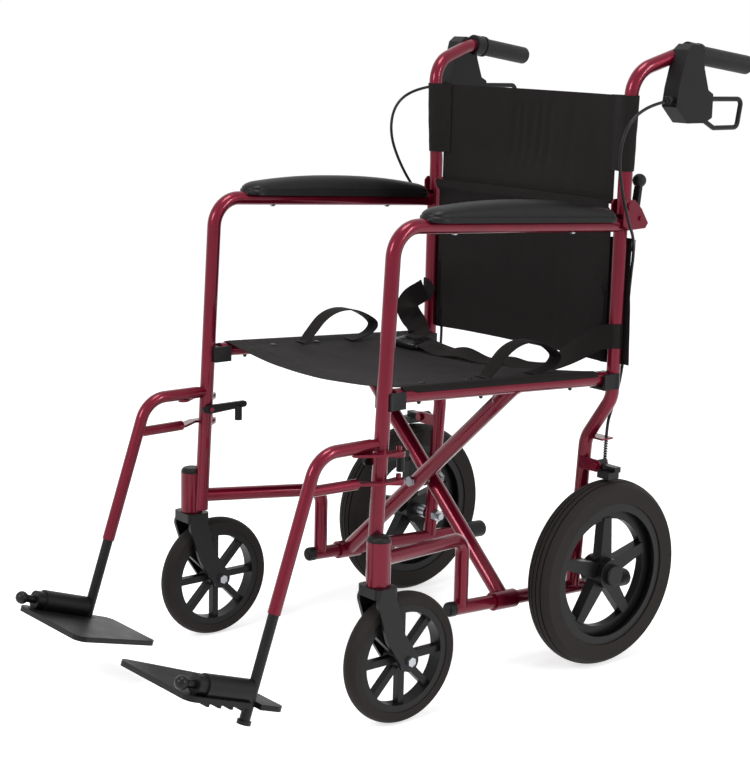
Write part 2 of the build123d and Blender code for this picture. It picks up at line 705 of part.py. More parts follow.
def rear_tyre():
    """Rear tyre with a crowned, grooved tread."""
    body = tyre(WHEEL_RADIUS, TYRE_HEIGHT, TYRE_WIDTH, TYRE_CROWN)
    for i in range(TYRE_GROOVES):
        z = (i - (TYRE_GROOVES - 1) / 2) * GROOVE_PITCH
        floor = WHEEL_RADIUS - TYRE_CROWN * (2 * z / TYRE_WIDTH) ** 2 - GROOVE_DEPTH
        body -= Pos(0, 0, z) * (Cylinder(WHEEL_RADIUS + 5, 2) - Cylinder(floor, 2))
    return Pos(WHEEL_X, AXLE_Y, AXLE_Z) * Rot(0, 90, 0) * body


def rear_axle():
    """Rear axle with its spacer and nuts, fitted to the rear post."""
    hub_end = WHEEL_X + HUB_WIDTH / 2
    post_face = LOWER_X - FRAME_TUBE / 2
    body = rod((AXLE_INNER_X, AXLE_Y, AXLE_Z), (hub_end + 3.5, AXLE_Y, AXLE_Z), AXLE)
    body += hex_bar((post_face - 9, AXLE_Y, AXLE_Z), (post_face + 1, AXLE_Y, AXLE_Z), AXLE_NUT)
    spacer_end = (WHEEL_X - HUB_WIDTH / 2 - SIDE_GAP, AXLE_Y, AXLE_Z)
    body += rod((LOWER_X + FRAME_TUBE / 2 - 1, AXLE_Y, AXLE_Z), spacer_end, FRAME_TUBE)
    body += hex_bar((hub_end - 1.6, AXLE_Y, AXLE_Z), (hub_end + 4, AXLE_Y, AXLE_Z), AXLE_NUT)
    return body - rear_post()


def brake_arm():
    """Brake bell crank, pulled up at its inner end, with the shoe over the tread."""
    y0 = BRAKE_PLATE_Y + BRAKE_PLATE + SIDE_GAP
    y1 = y0 + BRAKE_ARM_WIDTH
    x = BRAKE_PIVOT_X
    z = BRAKE_PIVOT_Z
    body = rod((x, y0, z), (x, y1, z), 18)
    shoe_x0 = SHOE_X - SHOE_WIDTH / 2
    shoe_x1 = SHOE_X + SHOE_WIDTH / 2
    shoe_foot = 2 * WHEEL_RADIUS + SHOE_GAP
    shoe_y0 = AXLE_Y - SHOE_LENGTH / 2
    body += block(x, shoe_x1, y0, y1 - 3, z - 5, z + 4)
    body += block(shoe_x0, shoe_x1, shoe_y0, shoe_y0 + SHOE_LENGTH, shoe_foot, z - 3)
    body += block(CABLE_X - 5, x, y1 - 8, y1, z - 6, z + 4)
    body += block(CABLE_X - 5, x - 7, y1 - 8, CABLE_Y + 5, z - 6, z + 4)
    return body - rod((x, y0 - 5, z), (x, CABLE_Y + 10, z), BRAKE_PIN + 2 * FIT_GAP)


def brake_spring():
    """Return spring round the cable between its stop and the brake arm."""
    low = (CABLE_X, CABLE_Y, BRAKE_PIVOT_Z + 4)
    high = (CABLE_X, CABLE_Y, STOP_TAB_Z)
    return rod(low, high, SPRING_DIAMETER) - rod(low, high, SPRING_BORE)


def cable_points():
    """Corners of the brake cable, from the hand brake's adjuster down to the brake arm."""
    return [
        (274.4, 320.5, 904.7),
        (276, 280, 899),
        (275, 240, 872),
        (271, 229, 826),
        (264, 246, 775),
        (253, 276, 724),
        (234, 316, 684),
        (225, 319, 620),
        (222, 318, 545),
        (219, 318, 470),
        (211, 307, 412),
        (CABLE_X, CABLE_Y, 385),
        (CABLE_X, CABLE_Y, BRAKE_PIVOT_Z + 4.4),
    ]


def bend_radii(points):
    """Largest even bends for a cord that follows points."""
    radii = []
    for before, corner, after in zip(points, points[1:], points[2:]):
        first = Vector(*corner) - Vector(*before)
        second = Vector(*after) - Vector(*corner)
        half_turn = radians(first.get_angle(second)) / 2
        radii.append(0.45 * min(first.length, second.length) / tan(half_turn))
    return radii


def brake_cable():
    """Brake cable."""
    points = cable_points()
    return tube(points, CABLE, bend_radii(points))


def gusset(top, foot):
    """Plate in the corner between a brace's upper end and its rail."""
    down = (foot - top).normalized()
    plane = Plane(origin=top, x_dir=BACKWARDS, z_dir=BACKWARDS.cross(down))
    outline = [(-GUSSET_HALF, 6), (GUSSET_HALF, 6), (9, GUSSET_DROP), (-9, GUSSET_DROP)]
    return extrude(plane * make_face(Polyline(*outline, close=True)), amount=2, both=True)


def rail_and_brace(side, brace_y):
    """Seat rail with the brace that runs down from it to the other side's bottom tube."""
    top = (side * RAIL_X, brace_y, level(RAIL_HEIGHT, brace_y))
    foot = (-side * LOWER_X, brace_y, level(BOTTOM_HEIGHT, brace_y))
    body = pitched_rod(side * RAIL_X, RAIL_HEIGHT, RAIL_FRONT_Y, RAIL_REAR_Y, FRAME_TUBE)
    body += rod(top, foot, BRACE_TUBE)
    body += gusset(Vector(*top), Vector(*foot))
    y0 = brace_y - FOOT_SLEEVE_LENGTH / 2
    y1 = brace_y + FOOT_SLEEVE_LENGTH / 2
    body += pitched_rod(-side * LOWER_X, BOTTOM_HEIGHT, y0, y1, FOOT_SLEEVE)
    bore = FRAME_TUBE + 2 * FIT_GAP
    return body - pitched_rod(-side * LOWER_X, BOTTOM_HEIGHT, y0 - 30, y1 + 30, bore)


def bolt_point(y):
    """Point on the axis of the brace bolt."""
    low = level(BOTTOM_HEIGHT, BRACE_FRONT_Y)
    high = level(RAIL_HEIGHT, BRACE_FRONT_Y)
    crossing_z = low + (high - low) * LOWER_X / (LOWER_X + RAIL_X)
    return (0, y, crossing_z - (y - BRACE_FRONT_Y) * SLOPE)


def brace_front():
    """Left seat rail and the front brace."""
    hole = rod(bolt_point(0), bolt_point(200), BRACE_BOLT + 2 * FIT_GAP)
    return rail_and_brace(1, BRACE_FRONT_Y) - hole


def brace_rear():
    """Right seat rail and the rear brace."""
    return rail_and_brace(-1, BRACE_REAR_Y) - rod(bolt_point(0), bolt_point(200), BRACE_BOLT)


def brace_bolt():
    """Bolt, washer and nut on which the two braces turn."""
    front = BRACE_FRONT_Y - BRACE_TUBE / 2 - 2 * SIDE_GAP
    rear = BRACE_REAR_Y + BRACE_TUBE / 2
    body = rod(bolt_point(front - 2), bolt_point(rear + 11), BRACE_BOLT)
    body += hex_bar(bolt_point(front - 6), bolt_point(front), BOLT_HEAD)
    body += hex_bar(bolt_point(rear + 0.5), bolt_point(rear + 8), BOLT_HEAD)
    washer_front = BRACE_FRONT_Y + BRACE_TUBE / 2 + 2 * SIDE_GAP
    return body + rod(bolt_point(washer_front), bolt_point(BRACE_REAR_Y - BRACE_TUBE / 2 - 0.5), 20)


def seat_sling():
    """Seat fabric between the rails, with the two lifting loops."""
    top = FRAME_TUBE / 2 + SOFT_GAP + FABRIC
    reach = RAIL_X - 1
    foot = top - FABRIC
    section = make_face([
        ThreePointArc((-reach, top), (0, top - SEAT_SAG), (reach, top)),
        Line((reach, top), (reach, foot)),
        ThreePointArc((reach, foot), (0, foot - SEAT_SAG), (-reach, foot)),
        Line((-reach, foot), (-reach, top)),
    ])
    for side in (-1, 1):
        wrap = Pos(side * RAIL_X, 0) * Circle(top)
        section += wrap & Pos(side * (RAIL_X + 19), 24) * Rectangle(40, 50)
    for side in (-1, 1):
        section -= Pos(side * RAIL_X, 0) * Circle(foot)
    origin = (0, SEAT_FRONT_Y, level(RAIL_HEIGHT, SEAT_FRONT_Y))
    plane = Plane(origin=origin, x_dir=(1, 0, 0), z_dir=BACKWARDS * -1)
    sling = extrude(plane * section, amount=(SEAT_FRONT_Y - SEAT_REAR_Y) / BACKWARDS.Y)
    return sling + lift_loop(LOOP_X, LOOP_LEFT_Y) + lift_loop(-LOOP_X, LOOP_RIGHT_Y)


def lift_loop(x, y):
    """Webbing loop that stands up from the seat fabric."""
    drop = SEAT_SAG * (1 - (x / RAIL_X) ** 2)
    base = level(RAIL_HEIGHT, y) + FRAME_TUBE / 2 + SOFT_GAP + FABRIC / 2 - drop
    fall = LOOP_HALF * SLOPE
    front = (x, y - LOOP_HALF, base + fall)
    rear = (x, y + LOOP_HALF, base - fall)
    path = ThreePointArc(front, (x, y, base + LOOP_HEIGHT), rear)
    section = Plane(origin=path @ 0, x_dir=(1, 0, 0), z_dir=path % 0) * Rectangle(WEB_WIDTH, WEB)
    return sweep(section, path=path)


def back_panel(z0, z1, half, y):
    """Fabric panel bowed towards the rear."""
    front = y - BACK_PANEL
    face = make_face([
        ThreePointArc((-half, y), (0, y + BACK_SAG), (half, y)),
        Line((half, y), (half, front)),
        ThreePointArc((half, front), (0, front + BACK_SAG), (-half, front)),
        Line((-half, front), (-half, y)),
    ])
    return extrude(Pos(0, 0, z0) * face, amount=z1 - z0)


def cane_point(side, z):
    """Point on a cane's axis between its knee and its upper bend."""
    share = (z - CANE_KNEE_Z) / (CANE_TOP_Z - CANE_KNEE_Z)
    x = CANE_X + share * (CANE_TOP_X - CANE_X)
    return (side * x, CANE_PIVOT_Y - 2 * share, z)


def back_upper():
    """Upper back panel with a sleeve on each cane."""
    bore = FRAME_TUBE + 2 * SOFT_GAP
    body = back_panel(BACK_FOLD_Z + 0.5, SLEEVE_FOOT_Z, CANE_X - 20, CANE_PIVOT_Y)
    body += back_panel(SLEEVE_FOOT_Z, BACK_TOP_Z, CANE_X - 8, CANE_PIVOT_Y)
    for side in (-1, 1):
        low = cane_point(side, SLEEVE_FOOT_Z - 20)
        high = cane_point(side, BACK_TOP_Z + 20)
        sleeve = rod(low, high, bore + 2 * FABRIC)
        body += sleeve & block(-300, 300, 200, 400, SLEEVE_FOOT_Z, BACK_TOP_Z)
    for side in (-1, 1):
        body -= rod(cane_point(side, SLEEVE_FOOT_Z - 25), cane_point(side, BACK_TOP_Z + 25), bore)
    return body


def back_lower():
    """Lower back panel, held behind the rear posts."""
    bore = FRAME_TUBE + 2 * SOFT_GAP
    foot_z = saddle_top_z(POST_Y, -1) + WRAP_GAP
    body = back_panel(foot_z, BACK_FOLD_Z - 0.5, SIDE_X - 17.5, POST_Y)
    body += back_panel(foot_z, WRAP_TOP_Z, SIDE_X - 6, POST_Y)
    behind = block(-300, 300, POST_Y, POST_Y + 40, foot_z, WRAP_TOP_Z)
    for x in (-SIDE_X, SIDE_X):
        wrap = rod((x, POST_Y, foot_z), (x, POST_Y, WRAP_TOP_Z), bore + 2 * FABRIC)
        body += wrap & behind
    for x in (-SIDE_X, SIDE_X):
        body -= rod((x, POST_Y, foot_z - 5), (x, POST_Y, WRAP_TOP_Z + 5), bore)
    return body


def belt_buckle():
    """Buckle of the lap belt, lying on the sagging seat."""
    slope = degrees(atan(2 * SEAT_SAG * -BUCKLE_X / RAIL_X ** 2))
    place = Pos(BUCKLE_X, BUCKLE_Y, BUCKLE_Z) * Rot(-FRAME_PITCH, slope, 0) * Rot(0, 0, BUCKLE_TURN)
    return place * Box(BUCKLE_LENGTH, BUCKLE_WIDTH, BUCKLE)


def belt_half(side):
    """Half of the lap belt, from the rear post down and over the seat to the buckle."""
    seat_z = RAIL_HEIGHT
    points = [
        (side * 200, 268, seat_z + 64),
        (side * 192, 250, seat_z + 19),
        (side * 187, 238, seat_z + 7),
        (BUCKLE_X - 31, BUCKLE_Y + 8, seat_z + 5),
        (BUCKLE_X - 22, BUCKLE_Y - 12, seat_z + 4.5),
    ]
    if side > 0:
        points = [
            (200, 268, seat_z + 64),
            (185, 263, seat_z + 19),
            (170, 258, seat_z + 6),
            (100, 235, seat_z - 7),
            (0, 201, seat_z - 10),
            (-56, 182, seat_z - 7),
            (BUCKLE_X + 20, BUCKLE_Y - 4, seat_z + 1),
        ]
    first = Vector(points[0][0], points[0][1], 0)
    last = Vector(points[-1][0], points[-1][1], 0)
    along = (last - first).normalized()
    plane = Plane(origin=first, x_dir=along, z_dir=along.cross(Vector(0, 0, 1)))
    upper = []
    for x, y, z in points:
        upper.append(((Vector(x, y, 0) - first).dot(along), z))
    lower = [(reach, z - BELT) for reach, z in reversed(upper)]
    face = make_face(Polyline(*upper, *lower, close=True))
    return extrude(plane * face, amount=BELT_WIDTH / 2, both=True) - belt_buckle()


def seat_belt():
    """Lap belt in two halves."""
    return [belt_half(1), belt_half(-1)]


def footrest_plane():
    """Plane at the footplate's spindle: X inwards, Y forwards along it, Z up the extension."""
    origin = (HANGER_X, hanger_y(SPINDLE_Z), SPINDLE_Z)
    return Plane(origin=origin, x_dir=(-1, 0, 0), z_dir=(0, sin(LEAN), cos(LEAN)))


def hook_strap(z):
    """A flat hook that passes outside the upright and drops over its pin."""
    front = (HANGER_X + 2, upright_y(z) - 44)
    side = (STRAP_SIDE_X, upright_y(z) - 12)
    body = flat_link(front, 8, side, 7, z, z + STRAP)
    body += flat_link(side, 7, (PIN_X, PIN_Y), STRAP_EYE / 2, z, z + STRAP)
    body -= upright_rod(z - 30, z + 30, FRAME_TUBE + 2 * SIDE_GAP)
    return body - rod((PIN_X, PIN_Y, z - 5), (PIN_X, PIN_Y, z + 10), HOOK_PIN + 2 * FIT_GAP)


def footrest_hanger():
    """Swing-away hanger: bent tube with two hooks and a plug against the upright."""
    front_face = upright_y(HANGER_TOP_Z) - FRAME_TUBE / 2
    start = (HANGER_X, front_face - PLUG_LENGTH, HANGER_TOP_Z)
    corner = (HANGER_X, HANGER_CORNER_Y, HANGER_TOP_Z)
    foot = (HANGER_X, hanger_y(HANGER_END_Z), HANGER_END_Z)
    body = tube([start, corner, foot], HANGER_TUBE, HANGER_BEND)
    plug = rod((HANGER_X, front_face + 6, HANGER_TOP_Z), start, HANGER_TUBE - 2)
    body += plug
    body -= upright_rod(HANGER_TOP_Z - 30, HANGER_TOP_Z + 30, FRAME_TUBE + 2 * SIDE_GAP)
    spur_start = (HANGER_X, hanger_y(SPUR_Z) + 2, SPUR_Z)
    body += rod(spur_start, (HANGER_X + 4, SPUR_END_Y, SPUR_Z), SPUR_TUBE)
    body += hook_strap(SPUR_Z - STRAP / 2)
    body += hook_strap(UPPER_STRAP_Z)
    low = (HANGER_X, hanger_y(HANGER_END_Z - 5), HANGER_END_Z - 5)
    return body - rod(low, (HANGER_X, hanger_y(BORE_TOP_Z), BORE_TOP_Z), HANGER_BORE)


def hanger_latch():
    """Latch lever beside the upright, with a knob under its end."""
    pivot = (LATCH_Y, LATCH_Z)
    end_y = LATCH_Y + LATCH_LENGTH
    x0 = LATCH_X - 3
    x1 = LATCH_X + 3
    body = side_link(pivot, 7, (end_y, LATCH_Z + 2), 5, x0, x1)
    body += side_link(pivot, 7, (LATCH_Y - 10, LATCH_Z), 5, x0, x1)
    body += rod((LATCH_X, end_y - 10, LATCH_Z), (LATCH_X, end_y - 10, LATCH_Z - 24), 12)
    return body - rod((x0 - 5, *pivot), (x1 + 5, *pivot), HOOK_PIN + 2 * FIT_GAP)


def footrest_extension():
    """Sliding footrest tube with the footplate's spindle and its ball end."""
    foot = Vector(HANGER_X, hanger_y(EXTENSION_FOOT_Z), EXTENSION_FOOT_Z)
    top = (HANGER_X, hanger_y(EXTENSION_TOP_Z), EXTENSION_TOP_Z)
    body = rod(foot, top, EXTENSION_TUBE)
    body += rod(foot, foot + Vector(0, sin(LEAN), cos(LEAN)) * 6, EXTENSION_TUBE + 5)
    body += footrest_plane() * rod((0, 0, 0), (0, BALL_REACH, 0), SPINDLE)
    return body + footrest_plane() * Pos(0, BALL_REACH, 0) * Sphere(BALL / 2)


def footplate():
    """Flip-up footplate with its barrel on the spindle and ribs beneath."""
    barrel_end = BARREL_START + BARREL_LENGTH
    collar_end = barrel_end + COLLAR_LENGTH
    top = -PLATE_DROP
    foot = top - PLATE
    outline = [
        (-PLATE_OUTER, -PLATE_REAR),
        (PLATE_INNER_REAR, -PLATE_REAR),
        (PLATE_INNER_FRONT, PLATE_FRONT),
        (-PLATE_OUTER, PLATE_FRONT),
    ]
    plate = extrude(Pos(0, 0, foot) * make_face(Polyline(*outline, close=True)), amount=PLATE)
    body = fillet(plate.edges().filter_by(Axis.Z), PLATE_CORNER)
    body += rod((0, BARREL_START, 0), (0, barrel_end, 0), BARREL)
    body += rod((0, barrel_end, 0), (0, collar_end, 0), COLLAR)
    body += block(-11, 11, BARREL_START, barrel_end, top - 2, 0)
    for i in range(PLATE_RIBS):
        y = BARREL_START + 8 + i * (BARREL_LENGTH - 16) / (PLATE_RIBS - 1)
        body += block(4 - PLATE_OUTER, 50, y - 2.5, y + 2.5, foot - RIB_DEPTH, foot + 1)
    half_notch = PLATE_NOTCH / 2
    body -= block(-60, half_notch, 1 - half_notch, half_notch - 2, -60, 60)
    body -= rod((0, -5, 0), (0, collar_end + 5, 0), SPINDLE + 2 * FIT_GAP)
    return footrest_plane() * body


PAIRS = {
    "side_tube": side_tube,
    "rear_post": rear_post,
    "lower_frame": lower_frame,
    "tube_caps": tube_caps,
    "seat_saddles": seat_saddles,
    "arm_pad": arm_pad,
    "back_bracket": back_bracket,
    "back_lever": back_lever,
    "back_cane": back_cane,
    "hand_grip": hand_grip,
    "brake_housing": brake_housing,
    "brake_lever": brake_lever,
    "caster_fork": caster_fork,
    "caster_wheel": caster_wheel,
    "caster_tyre": caster_tyre,
    "caster_axle": caster_axle,
    "rear_wheel": rear_wheel,
    "rear_tyre": rear_tyre,
    "rear_axle": rear_axle,
    "brake_arm": brake_arm,
    "brake_spring": brake_spring,
    "brake_cable": brake_cable,
    "footrest_hanger": footrest_hanger,
    "hanger_latch": hanger_latch,
    "footrest_extension": footrest_extension,
    "footplate": footplate,
}

SINGLES = {
    "brace_front": brace_front,
    "brace_rear": brace_rear,
    "brace_bolt": brace_bolt,
    "seat_sling": seat_sling,
    "back_upper": back_upper,
    "back_lower": back_lower,
    "seat_belt": seat_belt,
    "belt_buckle": belt_buckle,
}


def as_list(part):
    """The loose solids of a piece, in a list."""
    return part if isinstance(part, list) else [part]


def save(name, pieces):
    """Write the solids of one piece to its file."""
    solids = [solid for piece in pieces for solid in piece.solids()]
    shape = solids[0] if len(solids) == 1 else Compound(children=solids)
    export_step(shape, f"parts/{name}.step")


def main():
    """Build every piece, the left ones and their mirror images."""
    os.makedirs("parts", exist_ok=True)
    for name, make in PAIRS.items():
        pieces = as_list(make())
        save(f"{name}_left", pieces)
        save(f"{name}_right", [on_right(piece) for piece in pieces])
    for name, make in SINGLES.items():
        save(name, as_list(make()))
    radii = [f"{radius:.0f}" for radius in bend_radii(cable_points())]
    print("Bend radii of the brake cable, mm:", ", ".join(radii))


main()
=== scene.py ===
import json
from math import atan, cos, exp, pi, radians, sin, tan

import bmesh
import bpy
from mathutils import Matrix, Vector, noise


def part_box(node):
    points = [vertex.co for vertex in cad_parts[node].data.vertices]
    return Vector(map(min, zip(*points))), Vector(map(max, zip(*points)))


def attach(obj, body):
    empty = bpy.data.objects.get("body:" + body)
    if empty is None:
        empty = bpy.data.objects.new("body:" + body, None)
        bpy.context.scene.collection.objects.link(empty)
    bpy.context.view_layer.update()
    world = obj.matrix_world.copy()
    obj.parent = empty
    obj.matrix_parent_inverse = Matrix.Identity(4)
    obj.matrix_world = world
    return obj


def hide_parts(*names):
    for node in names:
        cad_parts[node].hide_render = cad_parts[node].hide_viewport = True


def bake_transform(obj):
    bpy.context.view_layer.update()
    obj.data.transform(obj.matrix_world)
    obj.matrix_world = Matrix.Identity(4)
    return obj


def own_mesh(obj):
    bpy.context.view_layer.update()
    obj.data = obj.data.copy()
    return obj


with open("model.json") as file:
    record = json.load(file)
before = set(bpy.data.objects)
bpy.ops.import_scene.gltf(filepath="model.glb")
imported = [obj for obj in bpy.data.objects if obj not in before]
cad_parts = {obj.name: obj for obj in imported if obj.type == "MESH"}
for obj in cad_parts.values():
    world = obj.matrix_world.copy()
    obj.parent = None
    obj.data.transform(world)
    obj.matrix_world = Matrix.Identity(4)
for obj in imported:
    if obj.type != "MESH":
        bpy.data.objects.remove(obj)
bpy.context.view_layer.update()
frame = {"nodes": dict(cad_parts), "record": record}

MM = 0.001

# Camera of the photograph
AZIMUTH = 50.396
ELEVATION = 11.755
ROLL = 1.3479
LENS = 85.727
CAMERA_AT = (2.13831, -1.78419, 1.01743)

# Sizes of the CAD part that the soft pieces keep to, in millimetres
PITCH = radians(2.8)
SLOPE = tan(PITCH)
TUBE_RADIUS = 11.1
RAIL_X = 219.0
RAIL_HEIGHT = 481.0
ARM_HEIGHT = 726.3
SEAT_FRONT = -150.0
SEAT_REAR = 252.0
SEAT_SAG = 19.0
SEAT_CLOTH = 2.4
POST_X = 223.0
POST_Y = 293.0
CANE_Y = 297.0
HINGE_Z = 742.0
BACK_HALF = 205.0
BACK_SAG = 16.0
BACK_THICKNESS = 6.0
BACK_SEAMS_X = (-175, -166, -158, 158, 166, 175)
BACK_TOP = 912.0
TOP_HEM = 904.0
SLEEVE_FOOT = 797.0
UPPER_FOOT = 743.0
LOWER_TOP = 749.5
FLAP_TOP = 690.0
FOOT_HEM = 498.0
BACK_FOOT = 490.0
BUCKLE_AT = (-130.0, 168.0, 481.5)
BUCKLE_TURN = 18.5

# Control points of the left brake cable's route, in metres, as in the part's source
CABLE_ROUTE = [
    (0.2744, 0.3205, 0.9047),
    (0.276, 0.28, 0.899),
    (0.275, 0.24, 0.872),
    (0.271, 0.229, 0.826),
    (0.264, 0.246, 0.775),
    (0.253, 0.276, 0.724),
    (0.234, 0.316, 0.684),
    (0.225, 0.319, 0.62),
    (0.222, 0.318, 0.545),
    (0.219, 0.318, 0.47),
    (0.211, 0.307, 0.412),
    (0.207, 0.301, 0.385),
    (0.207, 0.301, 0.3284),
]


def srgb(code):
    """Linear colour from an sRGB hex code."""
    channels = [int(code[i:i + 2], 16) / 255 for i in (1, 3, 5)]
    linear = [c / 12.92 if c <= 0.04045 else ((c + 0.055) / 1.055) ** 2.4 for c in channels]
    return (*linear, 1)


def add_node(tree, kind, settings, links=None):
    """Add a shader node, give its sockets and properties their values, and link sources to it."""
    made = tree.nodes.new(kind)
    for key, value in settings.items():
        if isinstance(key, int) or key in made.inputs:
            made.inputs[key].default_value = value
        else:
            setattr(made, key, value)
    for key, source in (links or {}).items():
        tree.links.new(source, made.inputs[key])
    return made


def start_finish(name, code, roughness, ior=1.5, metallic=0.0):
    """A new material at one plain colour, with its tree, its shader and Object coordinates."""
    material = bpy.data.materials.new(name)
    material.use_nodes = True
    tree = material.node_tree
    shader = tree.nodes["Principled BSDF"]
    shader.inputs["Base Color"].default_value = srgb(code)
    shader.inputs["Roughness"].default_value = roughness
    shader.inputs["IOR"].default_value = ior
    shader.inputs["Metallic"].default_value = metallic
    place = add_node(tree, "ShaderNodeTexCoord", {}).outputs["Object"]
    return material, tree, shader, place


def candy_crimson():
    """Candy powder coat on steel tube: clear crimson over bright metal, sharp lamp streaks."""
    material, tree, shader, place = start_finish(
        "candy_crimson_powder_coat", "#720A26", 0.3, 1.25, 0.5)
    shader.inputs["Coat Weight"].default_value = 0.7
    shader.inputs["Coat IOR"].default_value = 1.3
    shader.inputs["Coat Roughness"].default_value = 0.05
    # Orange peel of the coat: waves about 6 mm wide
    peel = add_node(tree, "ShaderNodeTexNoise", {"Scale": 160.0, "Detail": 2.0}, {"Vector": place})
    depth = add_node(tree, "ShaderNodeTexNoise", {"Scale": 25.0, "Detail": 2.0}, {"Vector": place})
    shade = add_node(
        tree, "ShaderNodeMix", {"data_type": "RGBA", 6: srgb("#720A26"), 7: srgb("#60081F")},
        {0: depth.outputs["Fac"]})
    tree.links.new(shade.outputs[2], shader.inputs["Base Color"])
    edge = add_node(tree, "ShaderNodeBevel", {"samples": 4, "Radius": 0.6 * MM})
    skin = add_node(
        tree, "ShaderNodeBump", {"Distance": 0.2 * MM, "Strength": 0.2},
        {"Height": peel.outputs["Fac"], "Normal": edge.outputs["Normal"]})
    tree.links.new(skin.outputs["Normal"], shader.inputs["Normal"])
    return material


def grained(name, code, roughness, ior, grain, depth, wear):
    """Black moulding, casting or coat: fine grain of a size in millimetres, uneven gloss."""
    material, tree, shader, place = start_finish(name, code, roughness, ior)
    fine = add_node(
        tree, "ShaderNodeTexNoise", {"Scale": 1000.0 / grain, "Detail": 2.0}, {"Vector": place})
    broad = add_node(tree, "ShaderNodeTexNoise", {"Scale": 28.0, "Detail": 3.0}, {"Vector": place})
    shade = add_node(
        tree, "ShaderNodeMix", {"data_type": "RGBA", 6: srgb(code), 7: srgb(wear)},
        {0: broad.outputs["Fac"]})
    tree.links.new(shade.outputs[2], shader.inputs["Base Color"])
    gloss = add_node(
        tree, "ShaderNodeMapRange", {"To Min": roughness - 0.07, "To Max": roughness + 0.1},
        {"Value": broad.outputs["Fac"]})
    tree.links.new(gloss.outputs["Result"], shader.inputs["Roughness"])
    edge = add_node(tree, "ShaderNodeBevel", {"samples": 4, "Radius": 0.9 * MM})
    skin = add_node(
        tree, "ShaderNodeBump", {"Distance": depth * MM, "Strength": 0.6},
        {"Height": fine.outputs["Fac"], "Normal": edge.outputs["Normal"]})
    tree.links.new(skin.outputs["Normal"], shader.inputs["Normal"])
    return material


def zinc_plate():
    """Bright zinc plating on bolts, nuts and wire: pale metal, slightly cloudy."""
    material, tree, shader, place = start_finish("bright_zinc_plate", "#B4B6BA", 0.3, 1.5, 1.0)
    cloud = add_node(tree, "ShaderNodeTexNoise", {"Scale": 90.0, "Detail": 3.0}, {"Vector": place})
    shade = add_node(
        tree, "ShaderNodeMix", {"data_type": "RGBA", 6: srgb("#B4B6BA"), 7: srgb("#8C9096")},
        {0: cloud.outputs["Fac"]})
    tree.links.new(shade.outputs[2], shader.inputs["Base Color"])
    gloss = add_node(
        tree, "ShaderNodeMapRange", {"To Min": 0.22, "To Max": 0.42},
        {"Value": cloud.outputs["Fac"]})
    tree.links.new(gloss.outputs["Result"], shader.inputs["Roughness"])
    return material


def ribbed_rubber():
    """Moulded rubber of the push grips: ribs 4 mm apart round the sleeve, dull."""
    material, tree, shader, place = start_finish("ribbed_grip_rubber", "#0F0F10", 0.5, 1.3)
    ribs = add_node(
        tree, "ShaderNodeTexWave", {"bands_direction": "Y", "Scale": pi / 10 / (4 * MM)},
        {"Vector": place})
    skin = add_node(
        tree, "ShaderNodeBump", {"Distance": 0.6 * MM, "Strength": 0.6},
        {"Height": ribs.outputs["Fac"]})
    dust = add_node(tree, "ShaderNodeTexNoise", {"Scale": 60.0, "Detail": 4.0}, {"Vector": place})
    shade = add_node(
        tree, "ShaderNodeMix", {"data_type": "RGBA", 6: srgb("#0D0D0E"), 7: srgb("#171617")},
        {0: dust.outputs["Fac"]})
    tree.links.new(shade.outputs[2], shader.inputs["Base Color"])
    tree.links.new(skin.outputs["Normal"], shader.inputs["Normal"])
    return material


def woven_nylon(name, first, second, pitch, code, worn):
    """Woven nylon: threads crossed along two axes, drawn coarser than real so that they show."""
    material, tree, shader, place = start_finish(name, code, 0.74, 1.22)
    shader.inputs["Sheen Weight"].default_value = 0.02
    shader.inputs["Sheen Roughness"].default_value = 0.4
    scale = pi / 10 / (pitch * MM)
    warp = add_node(
        tree, "ShaderNodeTexWave", {"bands_direction": first, "Scale": scale}, {"Vector": place})
    weft = add_node(
        tree, "ShaderNodeTexWave", {"bands_direction": second, "Scale": scale}, {"Vector": place})
    cross = add_node(
        tree, "ShaderNodeMath", {"operation": "MULTIPLY"},
        {0: warp.outputs["Fac"], 1: weft.outputs["Fac"]})
    crumple = add_node(
        tree, "ShaderNodeTexNoise", {"Scale": 24.0, "Detail": 3.0}, {"Vector": place})
    lint = add_node(
        tree, "ShaderNodeTexNoise", {"Scale": 420.0, "Detail": 4.0}, {"Vector": place})
    shade = add_node(
        tree, "ShaderNodeMix", {"data_type": "RGBA", 6: srgb(code), 7: srgb(worn)},
        {0: lint.outputs["Fac"]})
    tree.links.new(shade.outputs[2], shader.inputs["Base Color"])
    soft = add_node(
        tree, "ShaderNodeBump", {"Distance": 2.0 * MM, "Strength": 0.35},
        {"Height": crumple.outputs["Fac"]})
    weave = add_node(
        tree, "ShaderNodeBump", {"Distance": 0.3 * MM, "Strength": 0.6},
        {"Height": cross.outputs[0], "Normal": soft.outputs["Normal"]})
    tree.links.new(weave.outputs["Normal"], shader.inputs["Normal"])
    return material


